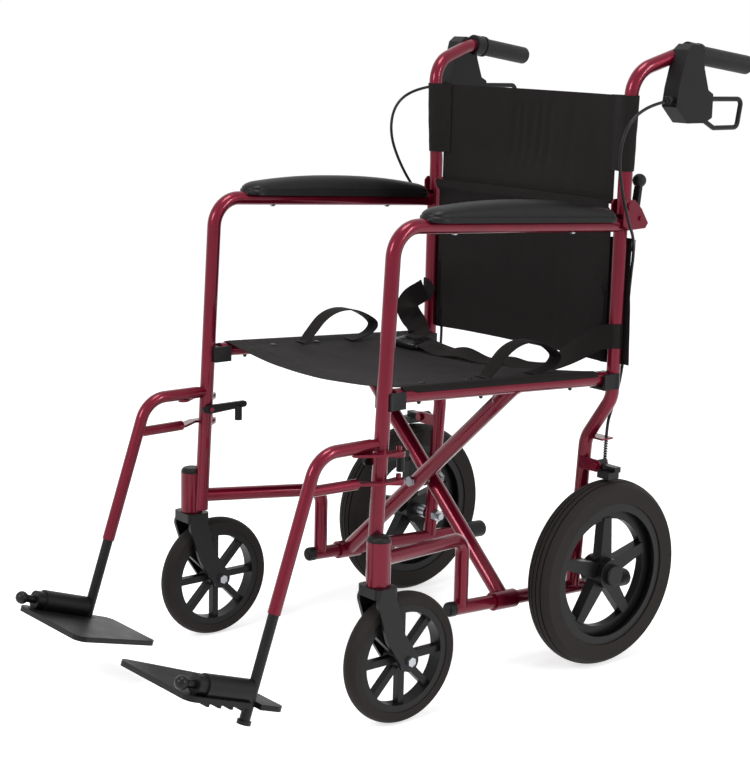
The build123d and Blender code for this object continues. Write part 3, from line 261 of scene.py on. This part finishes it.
FINISHES = {
    "crimson_paint": candy_crimson(),
    # Satin powder coat on plate and bar: fine pebbling
    "black_paint": grained("satin_black_powder_coat", "#0D0D0E", 0.32, 1.3, 1.1, 0.1, "#131315"),
    "black_steel": grained("black_coated_steel", "#0C0C0D", 0.3, 1.3, 1.1, 0.1, "#131315"),
    "zinc_steel": zinc_plate(),
    # Glass-filled nylon mouldings: spark-eroded texture
    "black_plastic": grained("moulded_black_nylon", "#0D0D0E", 0.42, 1.28, 1.4, 0.2, "#141315"),
    "wheel_plastic": grained("moulded_wheel_nylon", "#0F0E0F", 0.36, 1.28, 1.6, 0.2, "#171516"),
    # Self-skinned urethane foam of the arm pads: leathery grain
    "black_pad": grained("self_skinned_foam", "#0B0B0C", 0.4, 1.28, 2.4, 0.5, "#121112"),
    "grip_rubber": ribbed_rubber(),
    # Solid moulded tyres: dusty and matt
    "tyre_rubber": grained("moulded_tyre_rubber", "#1E1B1A", 0.7, 1.25, 0.9, 0.2, "#292523"),
    "cable_sheath": grained("extruded_cable_sheath", "#0B0B0C", 0.34, 1.3, 2.0, 0.1, "#111112"),
    "black_nylon": woven_nylon("woven_seat_nylon", "X", "Y", 1.1, "#110E0F", "#1D1818"),
    "buckle_plastic": grained("moulded_acetal", "#0E0E10", 0.26, 1.35, 3.0, 0.1, "#141416"),
}
BACK_NYLON = woven_nylon("woven_back_nylon", "X", "Z", 1.1, "#110E0F", "#1D1818")
BELT_WEBBING = woven_nylon("woven_belt_webbing", "X", "Y", 2.2, "#120F10", "#201B1B")


def add_piece(name, mesh, material, sharp=50):
    """Make a bmesh a finished piece of the object, smooth but for its sharp edges."""
    data = bpy.data.meshes.new(name)
    mesh.to_mesh(data)
    mesh.free()
    data.shade_smooth()
    data.set_sharp_from_angle(angle=radians(sharp))
    data.materials.append(material)
    piece = bpy.data.objects.new(name, data)
    bpy.context.scene.collection.objects.link(piece)
    return piece


def sheet_mesh(columns, rows, place):
    """A grid of faces with every corner at its place, in millimetres."""
    mesh = bmesh.new()
    bmesh.ops.create_grid(mesh, x_segments=columns, y_segments=rows, size=0.5)
    for corner in mesh.verts:
        column = round((corner.co.x + 0.5) * columns)
        row = round((corner.co.y + 0.5) * rows)
        corner.co = Vector(place(column, row)) * MM
    return mesh


def thicken(mesh, halves):
    """Close a sheet into cloth, half of its thickness each side, from a list by corner."""
    mark = mesh.verts.layers.int.new("mark")
    middles = []
    for number, corner in enumerate(mesh.verts):
        corner[mark] = number
        middles.append(corner.co.copy())
    bmesh.ops.solidify(mesh, geom=mesh.faces[:], thickness=MM)
    pairs = {}
    for corner in mesh.verts:
        pairs.setdefault(corner[mark], []).append(corner)
    for number, (outer, inner) in pairs.items():
        out = (outer.co - inner.co).normalized() * halves[number] * MM
        outer.co = middles[number] + out
        inner.co = middles[number] - out
    mesh.verts.layers.int.remove(mark)
    bmesh.ops.recalc_face_normals(mesh, faces=mesh.faces)


def join(meshes):
    """One bmesh of several."""
    whole = bmesh.new()
    for mesh in meshes:
        data = bpy.data.meshes.new("joined")
        mesh.to_mesh(data)
        mesh.free()
        whole.from_mesh(data)
        bpy.data.meshes.remove(data)
    return whole


def stations(low, high, step, seams):
    """Positions from low to high, closer together at seams."""
    count = round((high - low) / step)
    found = {round(low + (high - low) * i / count, 3) for i in range(count + 1)}
    for seam in seams:
        for offset in (-3.2, -1.8, -0.9, 0, 0.9, 1.8, 3.2):
            if low < seam + offset < high:
                found.add(round(seam + offset, 3))
    ordered = sorted(found)
    kept = [ordered[0]]
    for value in ordered[1:-1]:
        if value - kept[-1] > 0.5:
            kept.append(value)
    return [*kept, ordered[-1]]


def groove(value, seams, depth=0.9):
    """Depth of the sewn groove at a distance from seams."""
    return sum(depth * exp(-((value - seam) / 1.3) ** 2) for seam in seams)


def smooth_step(t):
    t = min(max(t, 0.0), 1.0)
    return t * t * (3 - 2 * t)


def smooth_path(points, steps=10):
    """Points on an even curve through the given ones."""
    points = [Vector(p) for p in points]
    padded = [2 * points[0] - points[1], *points, 2 * points[-1] - points[-2]]
    found = []
    for a, b, c, d in zip(padded, padded[1:], padded[2:], padded[3:]):
        for i in range(steps):
            t = i / steps
            curved = (2 * a - 5 * b + 4 * c - d) * t * t + (3 * b - a - 3 * c + d) * t ** 3
            found.append(b + ((c - a) * t + curved) / 2)
    return [*found, points[-1]]


WEBBING_SHARES = (-0.5, -0.47, -0.25, 0, 0.25, 0.47, 0.5)


def webbing(points, facings, width, thickness):
    """Flat strap along an even curve through points, its face turned as the facings say."""
    path = smooth_path(points)
    faces = smooth_path(facings)

    def place(column, row):
        along = path[min(row + 1, len(path) - 1)] - path[max(row - 1, 0)]
        across = along.cross(faces[row]).normalized()
        return path[row] + across * width * WEBBING_SHARES[column]

    mesh = sheet_mesh(len(WEBBING_SHARES) - 1, len(path) - 1, place)
    halves = []
    for number in range(len(mesh.verts)):
        edge = number % len(WEBBING_SHARES) in (0, len(WEBBING_SHARES) - 1)
        halves.append(thickness * (0.3 if edge else 0.5))
    thicken(mesh, halves)
    return mesh


def seat_axis(y):
    """Height of the seat rails' axis at one station."""
    return RAIL_HEIGHT - y * SLOPE


def seat_top(x, y):
    """Height of the seat cloth's upper face between the rails."""
    return seat_axis(y) + TUBE_RADIUS + 0.4 + SEAT_CLOTH - SEAT_SAG * (1 - (x / RAIL_X) ** 2)


WRAP_STEPS = 5


def seat_cloth():
    """Seat sling: one sheet over both rails, hemmed in front and behind, sewn beside the rails."""
    radius = TUBE_RADIUS + 0.4 + SEAT_CLOTH / 2
    hems = (SEAT_FRONT + 12, SEAT_FRONT + 30, SEAT_REAR - 30, SEAT_REAR - 12)
    side_seams = (-201, -193, 193, 201)
    # Across the seat: at each rail the second number counts the steps of the wrap round it
    line = [(-RAIL_X, i) for i in range(WRAP_STEPS + 1)]
    for x in stations(-RAIL_X + 4, RAIL_X - 4, 7, side_seams):
        line.append((x, radius - SEAT_SAG * (1 - (x / RAIL_X) ** 2)))
    line += [(RAIL_X, i) for i in reversed(range(WRAP_STEPS + 1))]
    ys = stations(SEAT_FRONT, SEAT_REAR, 9, hems)

    def place(column, row):
        x, z = line[column]
        y = ys[row]
        if abs(x) == RAIL_X:
            # Drawn down over the rail, less far where the front saddle is in the way
            first = 28 + 16 * smooth_step((-124 - y) / 10)
            turn = radians(first + (90 - first) * z / WRAP_STEPS)
            x += (radius * cos(turn)) * (1 if x > 0 else -1)
            z = radius * sin(turn)
        hold = smooth_step((RAIL_X - 12 - abs(x)) / 60)
        spot = Vector((x * 0.006, y * 0.012, 3.1))
        wave = 2.4 * noise.noise(spot) + 0.9 * noise.noise(spot * 3.1)
        return x, y, seat_axis(y) + z + hold * wave

    mesh = sheet_mesh(len(line) - 1, len(ys) - 1, place)
    halves = []
    for y in ys:
        edge = smooth_step(min(y - SEAT_FRONT, SEAT_REAR - y) / 1.5)
        for x, z in line:
            half = SEAT_CLOTH / 2 * (0.5 + 0.5 * edge)
            beside = groove(x, side_seams, 0.4) if abs(x) < RAIL_X - 5 else 0
            halves.append(max(half - (groove(y, hems, 0.35) + beside), 0.35))
    thicken(mesh, halves)
    return add_piece("seat_cloth", mesh, FINISHES["black_nylon"])


# Soft upright folds in the middle of the back: place, width and depth in millimetres
BACK_FOLDS = ((-46, 6, 2.2), (-27, 5, 2.8), (-6, 6, 2.4), (16, 5, 3.0), (37, 7, 2.4), (92, 9, 1.4))


def back_depth(x, z):
    """How far the back cloth's middle layer stands behind the line between its tubes."""
    bow = BACK_SAG * (1 - (x / BACK_HALF) ** 2) * (1 - 0.65 * exp(-((z - HINGE_Z) / 42) ** 2))
    hold = smooth_step((196 - abs(x)) / 60)
    spot = Vector((x * 0.011, z * 0.0045, 1.7))
    wave = 2.4 * noise.noise(spot) + 0.8 * noise.noise(spot * 3.3)
    # The folds begin above the hinge and end below the top hem
    fade = smooth_step((z - HINGE_Z - 20) / 50) * smooth_step((906 - z) / 30)
    for fold, width, depth in BACK_FOLDS:
        lean = (z - 830) * 0.06
        wander = 5 * noise.noise(Vector((z * 0.012, fold, 0)))
        wave += fade * depth * exp(-((x - fold - lean - wander) / width) ** 2)
    return bow + hold * wave


def back_panel(low, high, half, seams, middle):
    """Padded nylon panel with a rounded edge all round and sewn channels on both faces."""
    xs = stations(-half, half, 4.5, BACK_SEAMS_X)
    zs = stations(low, high, 6, seams)

    def place(column, row):
        return xs[column], middle(xs[column], zs[row]), zs[row]

    mesh = sheet_mesh(len(xs) - 1, len(zs) - 1, place)
    halves = []
    for z in zs:
        end = smooth_step((min(z - low, high - z) + 0.6) / 4)
        for x in xs:
            edge = smooth_step((half - abs(x) + 0.8) / 4)
            full = BACK_THICKNESS / 2 * min(edge, end)
            sunk = min(groove(x, BACK_SEAMS_X, 2.0) + groove(z, seams, 2.0), full * 0.75)
            halves.append(max(full - sunk, 0.4))
    thicken(mesh, halves)
    return mesh


# Heights between which the canes lean outwards
CANE_LEAN_FROM = 778
CANE_LEAN_TO = 947


def cane_axis(z):
    """Plan position of the left cane's axis at a height."""
    share = (z - CANE_LEAN_FROM) / (CANE_LEAN_TO - CANE_LEAN_FROM)
    return POST_X + 0.5 + 7.5 * share, CANE_Y - 2 * share


def upper_middle(x, z):
    """Middle layer of the upper panel."""
    return CANE_Y - 2.5 + back_depth(x, z)


def lower_middle(x, z):
    """The lower panel's top edge lies in front of the upper panel, so that no light shows."""
    lip = 7.5 * smooth_step((z - 730) / 9)
    return POST_Y - 2.5 + back_depth(x, z) - lip


# Columns of a sleeve: flat from the panel to the cane, half round it, and flat back
SLEEVE_FLAT = 8
SLEEVE_ROUND = 14
SLEEVE_COLUMNS = 2 * SLEEVE_FLAT + SLEEVE_ROUND


def cane_sleeve(side):
    """Sleeve of the upper back, sewn to the panel and drawn round its cane."""
    zs = stations(SLEEVE_FOOT, BACK_TOP, 6, (TOP_HEM,))
    root = BACK_HALF - 18
    radius = TUBE_RADIUS + 1.7

    def place(column, row):
        z = zs[row]
        cx, cy = cane_axis(z)
        reach = radius + 0.6 * noise.noise(Vector((column * 0.4, z * 0.05, side)))
        step = min(column, SLEEVE_COLUMNS - column)
        if step < SLEEVE_FLAT:
            face = -1 if column < SLEEVE_FLAT else 1
            x = root + (cx - root) * step / SLEEVE_FLAT
            flat = upper_middle(root, z) + face * 1.5
            t = smooth_step(step / SLEEVE_FLAT)
            return side * x, flat + (cy + face * reach - flat) * t, z
        turn = radians(-90 + 180 * (column - SLEEVE_FLAT) / SLEEVE_ROUND)
        return side * (cx + reach * cos(turn)), cy + reach * sin(turn), z

    mesh = sheet_mesh(SLEEVE_COLUMNS, len(zs) - 1, place)
    thicken(mesh, [0.9] * len(mesh.verts))
    return mesh


# Plan of the lower back's edge: millimetres from the middle, and behind the panel
FLAP_LINE = ((192, 1.5), (201, 3.5), (209, 8.0), (216, 12.6), (224, 14.0), (236, 13.6))


def post_flap(side):
    """Edge of the lower back, drawn behind its rear post."""
    zs = stations(BACK_FOOT, FLAP_TOP, 8, (FOOT_HEM,))
    line = smooth_path(FLAP_LINE, 4)

    def place(column, row):
        spot = line[column]
        z = zs[row]
        wave = 0.9 * noise.noise(Vector((z * 0.02, column * 0.1, side))) * column / len(line)
        spread = 1 + 0.035 * smooth_step((680 - z) / 190) * column / len(line)
        return side * (spot[0] * spread + wave), POST_Y - 2.5 + spot[1] + 1.3 + wave, z

    mesh = sheet_mesh(len(line) - 1, len(zs) - 1, place)
    thicken(mesh, [1.2] * len(mesh.verts))
    return mesh


def back_cloth(name, mesh):
    """A piece of the back's nylon."""
    return add_piece(name, mesh, BACK_NYLON)


def on_seat(x, y, rise=2.0):
    """A point on the seat cloth, or a little above it."""
    return x, y, seat_top(x, y) + rise


# Lap belt: each half goes round the rear post, down to the seat and over it to the buckle.
# The first list is its middle line in millimetres, the second the way that its face looks.
NEAR_BELT = [
    (233.5, 299, 536), (235.5, 290, 536), (230, 281.6, 536), (220, 280.0, 535),
    (200, 276, 528), (176, 268, 512), (150, 258, 494), on_seat(122, 246, 5),
    on_seat(84, 232, 3), on_seat(50, 222, 9), on_seat(14, 210, 4), on_seat(-30, 196, 12),
    on_seat(-66, 184, 5), (-96, 178.6, 480.5), (-112, 174, 482),
]
NEAR_FACING = [
    (0.9, 0.4, 0), (1, -0.2, 0), (0.5, -1, 0), (0.1, -1, 0),
    (0, -1, 0.1), (0.1, -0.95, 0.3), (0.1, -0.8, 0.6), (0, -0.3, 0.95),
    (0.1, -0.2, 1), (-0.1, -0.2, 1), (0, -0.1, 1), (0.1, -0.25, 1),
    (0, -0.15, 1), (0.1, -0.05, 1), (0.1, -0.05, 1),
]
FAR_BELT = [
    (-233.5, 299, 553), (-235.5, 290, 553), (-231, 281.8, 553), (-222, 278.6, 553),
    (-213, 258, 550), (-206, 233, 543), (-202, 221, 530), (-199, 226, 515),
    (-192, 234, 500), on_seat(-182, 232, 6), on_seat(-172, 208, 5), on_seat(-166, 180, 4),
    (-150, 161.5, 484),
]
FAR_FACING = [
    (-0.9, 0.4, 0), (-1, -0.2, 0), (-0.5, -1, 0), (0.6, -0.8, 0),
    (0.9, -0.3, 0.1), (0.9, -0.35, 0.1), (0.75, -0.6, 0.2), (0.65, -0.7, 0.3),
    (0.5, -0.5, 0.7), (0.1, -0.1, 1), (0, 0, 1), (0.05, 0, 1),
    (0.1, 0, 1),
]
BELT_WIDTH = 38.0
BELTS = {"belt_left": (NEAR_BELT, NEAR_FACING), "belt_right": (FAR_BELT, FAR_FACING)}


def rounded_block(centre, size, bevel, place):
    """A block with rounded edges, in millimetres, put in place by a matrix."""
    mesh = bmesh.new()
    made = bmesh.ops.create_cube(mesh, size=1)
    bmesh.ops.scale(mesh, vec=Vector(size) * MM, verts=made["verts"])
    bmesh.ops.translate(mesh, vec=Vector(centre) * MM, verts=made["verts"])
    bmesh.ops.bevel(
        mesh, geom=mesh.edges[:], offset=bevel * MM, segments=3, profile=0.5, affect="EDGES",
        material=-1)
    bmesh.ops.transform(mesh, matrix=place, verts=mesh.verts)
    return mesh


def belt_buckle():
    """Belt buckle on the sagging seat: body, release button and the tongue's shoulder."""
    lean = atan(2 * SEAT_SAG * -BUCKLE_AT[0] / RAIL_X ** 2)
    place = Matrix.Translation(Vector(BUCKLE_AT) * MM)
    place = place @ Matrix.Rotation(-PITCH, 4, "X") @ Matrix.Rotation(lean, 4, "Y")
    place = place @ Matrix.Rotation(radians(BUCKLE_TURN), 4, "Z")
    mesh = join([
        rounded_block((-3, 0, 0), (46, 43, 11), 2.6, place),
        rounded_block((3, 0, 5.4), (18, 26, 1.8), 0.7, place),
        rounded_block((23, 0, 0), (7, 41, 6), 1.2, place),
    ])
    return add_piece("buckle", mesh, FINISHES["buckle_plastic"], 35)


# Side view of a lifting loop: millimetres behind its front end, and above the seat
LOOP_LINE = (
    (-9, 1.6), (0, 3.0), (15, 17), (39, 40), (66, 52), (98, 53), (130, 42), (149, 27),
    (137, 12), (106, 2.8), (94, 1.4),
)
LOOP_FACING = (
    (0, -0.3, 1), (0, -0.9, 0.5), (0.1, -1, 0.1), (0.15, -0.8, 0.7), (0.1, -0.2, 1), (0, 0.3, 1),
    (-0.1, 1, 0.8), (-0.1, 1, -0.1), (0, 0.9, -0.6), (0, 0.6, -0.9), (0, 0.1, -1),
)
LOOP_WIDTH = 25.0


def loop_points(x, y):
    """Line of a lifting loop that stands up from the seat and leans to the rear."""
    points = []
    for reach, rise in LOOP_LINE:
        station = y - 52 + reach
        lean = 0.03 * rise * (1 if x > 0 else -1)
        points.append((x + lean, station, seat_top(x, station) + rise))
    return points


def lift_loop(name, x, y):
    """Webbing loop sewn to the seat at both ends."""
    mesh = webbing(loop_points(x, y), LOOP_FACING, LOOP_WIDTH, 1.8)
    return add_piece(name, mesh, BELT_WEBBING)


def disc(centre, radius, height, turn):
    """A low domed head, in millimetres, its face along +Z before the turn."""
    mesh = bmesh.new()
    bmesh.ops.create_cone(
        mesh, cap_ends=True, segments=20, radius1=radius * MM, radius2=radius * 0.72 * MM,
        depth=height * MM)
    rim = [edge for edge in mesh.edges if all(v.co.z > 0 for v in edge.verts)]
    bmesh.ops.bevel(
        mesh, geom=rim, offset=height * 0.35 * MM, segments=2, profile=0.5, affect="EDGES",
        material=-1)
    place = Matrix.Translation(Vector(centre) * MM) @ turn
    bmesh.ops.transform(mesh, matrix=place, verts=mesh.verts)
    return mesh


def side_name(name, side):
    """A piece's name with left or right after it."""
    return f"{name}_left" if side > 0 else f"{name}_right"


def seat_snaps(side):
    """Press studs that close the seat cloth beside its rail."""
    heads = []
    for x, y in ((186, -80), (189, 12)):
        lean = Matrix.Rotation(-side * atan(2 * SEAT_SAG * x / RAIL_X ** 2), 4, "Y")
        heads.append(disc((side * x, y, seat_top(x, y) + 0.5), 6.0, 2.2, lean))
    name = side_name("seat_snaps", side)
    return add_piece(name, join(heads), FINISHES["black_steel"], 35)


def rail_screws(side):
    """Ends of the seat screws under the rail."""
    down = Matrix.Rotation(pi, 4, "X")
    ends = [disc((side * RAIL_X, y, seat_axis(y) - TUBE_RADIUS - 1.6), 3.4, 4.5, down)
            for y in (-113, 10, 200)]
    name = side_name("rail_screws", side)
    return add_piece(name, join(ends), FINISHES["black_steel"], 35)


def pad_screws(side):
    """Heads of the arm pad's screws under the arm tube."""
    down = Matrix.Rotation(pi, 4, "X")
    heads = [disc((side * POST_X, y, ARM_HEIGHT - y * SLOPE - TUBE_RADIUS - 0.9), 5.0, 2.8, down)
             for y in (-57, 186)]
    name = side_name("pad_screws", side)
    return add_piece(name, join(heads), FINISHES["zinc_steel"], 35)


def bar_along(name, points, diameter, kind):
    """A round bar along a curve's points in metres, as a mesh."""
    curve = bpy.data.curves.new(name, "CURVE")
    curve.dimensions = "3D"
    curve.bevel_depth = diameter / 2
    curve.bevel_resolution = 3
    curve.resolution_u = 10
    curve.use_fill_caps = True
    spline = curve.splines.new(kind)
    spline.points.add(len(points) - 1)
    for point, spot in zip(spline.points, points):
        point.co = (*spot, 1)
    if kind == "NURBS":
        spline.order_u = 3
        spline.use_endpoint_u = True
    line = bpy.data.objects.new(name, curve)
    bpy.context.scene.collection.objects.link(line)
    depsgraph = bpy.context.evaluated_depsgraph_get()
    data = bpy.data.meshes.new_from_object(line.evaluated_get(depsgraph))
    bpy.data.objects.remove(line)
    mesh = bmesh.new()
    mesh.from_mesh(data)
    bpy.data.meshes.remove(data)
    bmesh.ops.remove_doubles(mesh, verts=mesh.verts, dist=0.00001)
    bmesh.ops.recalc_face_normals(mesh, faces=mesh.faces)
    return mesh


def brake_cable(side, name):
    """Sheathed brake cable along the route of the CAD part."""
    route = [(side * x, y, z) for x, y, z in CABLE_ROUTE]
    mesh = bar_along(name, route, 0.005, "NURBS")
    return add_piece(name, mesh, FINISHES["cable_sheath"])


def cable_ferrule(side, name):
    """Pale ferrule on the cable where it meets the rear post."""
    route = [(side * 0.2345, 0.3130, 0.6875), (side * 0.2300, 0.3165, 0.6700)]
    mesh = bar_along(name, route, 0.0074, "POLY")
    return add_piece(name, mesh, FINISHES["zinc_steel"], 35)


def return_spring(side, name):
    """Return spring of the brake, coiled round the cable, in metres."""
    turns = 8
    steps = 14
    radius = 0.0037
    low = 0.3286
    high = 0.3626
    coil = []
    for i in range(turns * steps + 1):
        turn = 2 * pi * i / steps
        share = i / (turns * steps)
        coil.append((
            side * 0.207 + radius * cos(turn),
            0.301 + radius * sin(turn),
            low + (high - low) * share,
        ))
    mesh = bar_along(name, coil, 0.0013, "POLY")
    return add_piece(name, mesh, FINISHES["zinc_steel"])


def copy_of_node(name):
    """The mesh of a CAD node as a closed bmesh of its own."""
    mesh = bmesh.new()
    mesh.from_mesh(frame["nodes"][name].data)
    bmesh.ops.remove_doubles(mesh, verts=mesh.verts, dist=0.00001)
    return mesh


# Height of the pad's rim over the arm tube's axis, and slices along the pad
PAD_RIM_RISE = 14.4
PAD_STEPS = 26


def arm_pad(word):
    """Arm pad: the CAD pad with its crown arched along the arm, low at both ends."""
    mesh = copy_of_node(f"arm_pad_{word}")
    low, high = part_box(f"arm_pad_{word}")
    front = low[1] / MM
    length = high[1] / MM - front
    for step in range(1, PAD_STEPS):
        bmesh.ops.bisect_plane(
            mesh, geom=mesh.verts[:] + mesh.edges[:] + mesh.faces[:], dist=0.000001,
            plane_co=(0, (front + length * step / PAD_STEPS) * MM, 0), plane_no=(0, 1, 0))
    for corner in mesh.verts:
        y = corner.co.y / MM
        rim = ARM_HEIGHT - y * SLOPE + PAD_RIM_RISE
        rise = corner.co.z / MM - rim
        if rise > 0:
            share = abs(2 * (y - front) / length - 1)
            corner.co.z = (rim + rise * (1 - 0.62 * share ** 2.2)) * MM
    return add_piece(f"arm_pad_skin_{word}", mesh, FINISHES["black_pad"], 40)


# Planes across the collars at the front and rear tubes, and the way that the cut part lies
SADDLE_CUTS = ((-181.8, -1), (POST_Y - 0.2, 1))


def seat_saddles(word):
    """Seat saddles: the CAD saddles without the half of the collar on the tube's far side."""
    mesh = copy_of_node(f"seat_saddles_{word}")
    for y, way in SADDLE_CUTS:
        bmesh.ops.bisect_plane(
            mesh, geom=mesh.verts[:] + mesh.edges[:] + mesh.faces[:], dist=0.000001,
            plane_co=(0, y * MM, 0), plane_no=(0, way, 0), clear_outer=True)
        rims = [edge for edge in mesh.edges if edge.is_boundary]
        bmesh.ops.holes_fill(mesh, edges=rims, sides=0)
    return add_piece(f"saddle_cups_{word}", mesh, FINISHES["black_plastic"], 35)


def paint_cad():
    """Give each CAD node the finish of its material slot."""
    for entry in frame["record"]["subparts"]:
        node = frame["nodes"][entry["node"]]
        slot = entry["material_slot"]
        if entry["node"].startswith("back_bracket"):
            # Welded to the post and painted with it
            slot = "crimson_paint"
        node.data.materials.clear()
        node.data.materials.append(FINISHES[slot])


def dress_seat():
    """Seat cloth; its loops, studs and screws each on the rail that carries it."""
    seat = seat_cloth()
    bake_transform(seat)
    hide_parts("seat_sling")
    for side, body in ((1, "brace_front"), (-1, "brace_rear")):
        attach(seat_snaps(side), body)
        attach(rail_screws(side), body)
    for name, x, y, body in (
        ("loop_left", 188, 98, "brace_front"),
        ("loop_right", -188, 36, "brace_rear"),
    ):
        loop = lift_loop(name, x, y)
        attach(loop, body)


def dress_back():
    """The back's panels, sleeves and flaps, each on its body; their edges keep to the tubes."""
    upper = back_cloth(
        "back_upper_cloth",
        back_panel(UPPER_FOOT, BACK_TOP, BACK_HALF - 2, (751, 761, TOP_HEM), upper_middle))
    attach(upper, "cane_left")
    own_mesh(upper)
    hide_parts("back_upper")
    lower = back_cloth(
        "back_lower_cloth",
        back_panel(BACK_FOOT, LOWER_TOP, BACK_HALF, (741.5, FOOT_HEM), lower_middle))
    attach(lower, "left_frame")
    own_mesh(lower)
    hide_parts("back_lower")
    for side, word in ((1, "left"), (-1, "right")):
        sleeve = back_cloth(f"back_sleeve_{word}", cane_sleeve(side))
        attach(sleeve, f"cane_{word}")
        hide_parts("back_upper")
        flap = back_cloth(f"back_flap_{word}", post_flap(side))
        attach(flap, f"{word}_frame")
        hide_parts("back_lower")


def dress_belt():
    """Lap belt and buckle, on the left frame."""
    for name, (points, facings) in BELTS.items():
        mesh = webbing(points, facings, BELT_WIDTH, 2.0)
        belt = add_piece(name, mesh, BELT_WEBBING)
        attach(belt, "left_frame")
        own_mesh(belt)
        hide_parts("seat_belt")
    clasp = belt_buckle()
    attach(clasp, "left_frame")
    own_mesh(clasp)
    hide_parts("belt_buckle")


def dress_sides():
    """Brake cables, springs and screws of both sides."""
    for side, word in ((1, "left"), (-1, "right")):
        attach(pad_screws(side), f"{word}_frame")
        pad = arm_pad(word)
        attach(pad, f"{word}_frame")
        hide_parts(f"arm_pad_{word}")
        saddles = seat_saddles(word)
        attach(saddles, f"{word}_frame")
        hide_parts(f"seat_saddles_{word}")
        cable = brake_cable(side, f"brake_cable_{word}_sheath")
        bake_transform(cable)
        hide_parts(f"brake_cable_{word}")
        ferrule = cable_ferrule(side, f"cable_ferrule_{word}")
        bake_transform(ferrule)
        coil = return_spring(side, f"brake_spring_{word}_coil")
        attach(coil, f"{word}_frame")
        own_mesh(coil)
        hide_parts(f"brake_spring_{word}")


def area_light(name, spot, size, power):
    """A soft rectangular lamp that looks at the middle of the chair."""
    light = bpy.data.lights.new(name, "AREA")
    light.shape = "RECTANGLE"
    light.size, light.size_y = size
    light.energy = power
    lamp = bpy.data.objects.new(name, light)
    bpy.context.scene.collection.objects.link(lamp)
    lamp.location = spot
    lamp.rotation_euler = (Vector((0, 0, 0.5)) - Vector(spot)).to_track_quat("-Z", "Y").to_euler()


def seen_directly(tree):
    """1 for rays from the camera, from a mirror or through glass, else 0."""
    path = add_node(tree, "ShaderNodeLightPath", {})
    mirror = add_node(
        tree, "ShaderNodeMath", {"operation": "MAXIMUM"},
        {0: path.outputs["Is Glossy Ray"], 1: path.outputs["Is Transmission Ray"]})
    return add_node(
        tree, "ShaderNodeMath", {"operation": "MAXIMUM"},
        {0: path.outputs["Is Camera Ray"], 1: mirror.outputs[0]}).outputs[0]


AMBIENT = 0.42
PAPER_GLOW = 0.62


def studio():
    """Pale paper floor, white surroundings and three soft lamps."""
    scene = bpy.context.scene
    bpy.ops.mesh.primitive_plane_add(size=60, location=(0, 0, 0))
    floor = bpy.context.object
    floor.name = "studio_floor"
    # Matt white paper, glowing a little where it is seen, so that far off it is as pale as near
    paper, tree, shader, _ = start_finish("studio_paper", "#F4F4F4", 0.9, 1.2)
    glow = add_node(
        tree, "ShaderNodeMath", {"operation": "MULTIPLY", 1: PAPER_GLOW},
        {0: seen_directly(tree)})
    shader.inputs["Emission Color"].default_value = (1, 1, 1, 1)
    tree.links.new(glow.outputs[0], shader.inputs["Emission Strength"])
    floor.data.materials.append(paper)
    world = bpy.data.worlds.new("studio_world")
    scene.world = world
    world.use_nodes = True
    tree = world.node_tree
    background = tree.nodes["Background"]
    background.inputs["Color"].default_value = (1, 1, 1, 1)
    strength = add_node(
        tree, "ShaderNodeMapRange", {"To Min": AMBIENT, "To Max": 1.0},
        {"Value": seen_directly(tree)})
    tree.links.new(strength.outputs["Result"], background.inputs["Strength"])
    area_light("key_light", (0.2, -3.2, 2.2), (0.9, 1.2), 58)
    area_light("side_light", (3.2, 1.2, 1.8), (0.35, 1.7), 42)
    area_light("top_light", (0.4, -0.2, 3.2), (1.0, 1.0), 38)


def photo_camera():
    """Camera at the photograph's place, angle and lens."""
    azimuth = radians(AZIMUTH)
    elevation = radians(ELEVATION)
    roll = radians(ROLL)
    back = Vector((sin(azimuth) * cos(elevation), -cos(azimuth) * cos(elevation), sin(elevation)))
    right = Vector((cos(azimuth), sin(azimuth), 0))
    up = back.cross(right)
    turned_right = right * cos(roll) + up * sin(roll)
    turned_up = up * cos(roll) - right * sin(roll)
    data = bpy.data.cameras.new("photo_camera")
    data.sensor_fit = "HORIZONTAL"
    data.sensor_width = 36
    data.lens = LENS
    camera = bpy.data.objects.new("photo_camera", data)
    bpy.context.scene.collection.objects.link(camera)
    turn = Matrix((turned_right, turned_up, back)).transposed().to_4x4()
    camera.matrix_world = Matrix.Translation(CAMERA_AT) @ turn
    bpy.context.scene.camera = camera


photo_camera()
bpy.context.scene.view_settings.view_transform = "Standard"
paint_cad()
dress_seat()
dress_back()
dress_belt()
dress_sides()
studio()
bpy.context.view_layer.update()
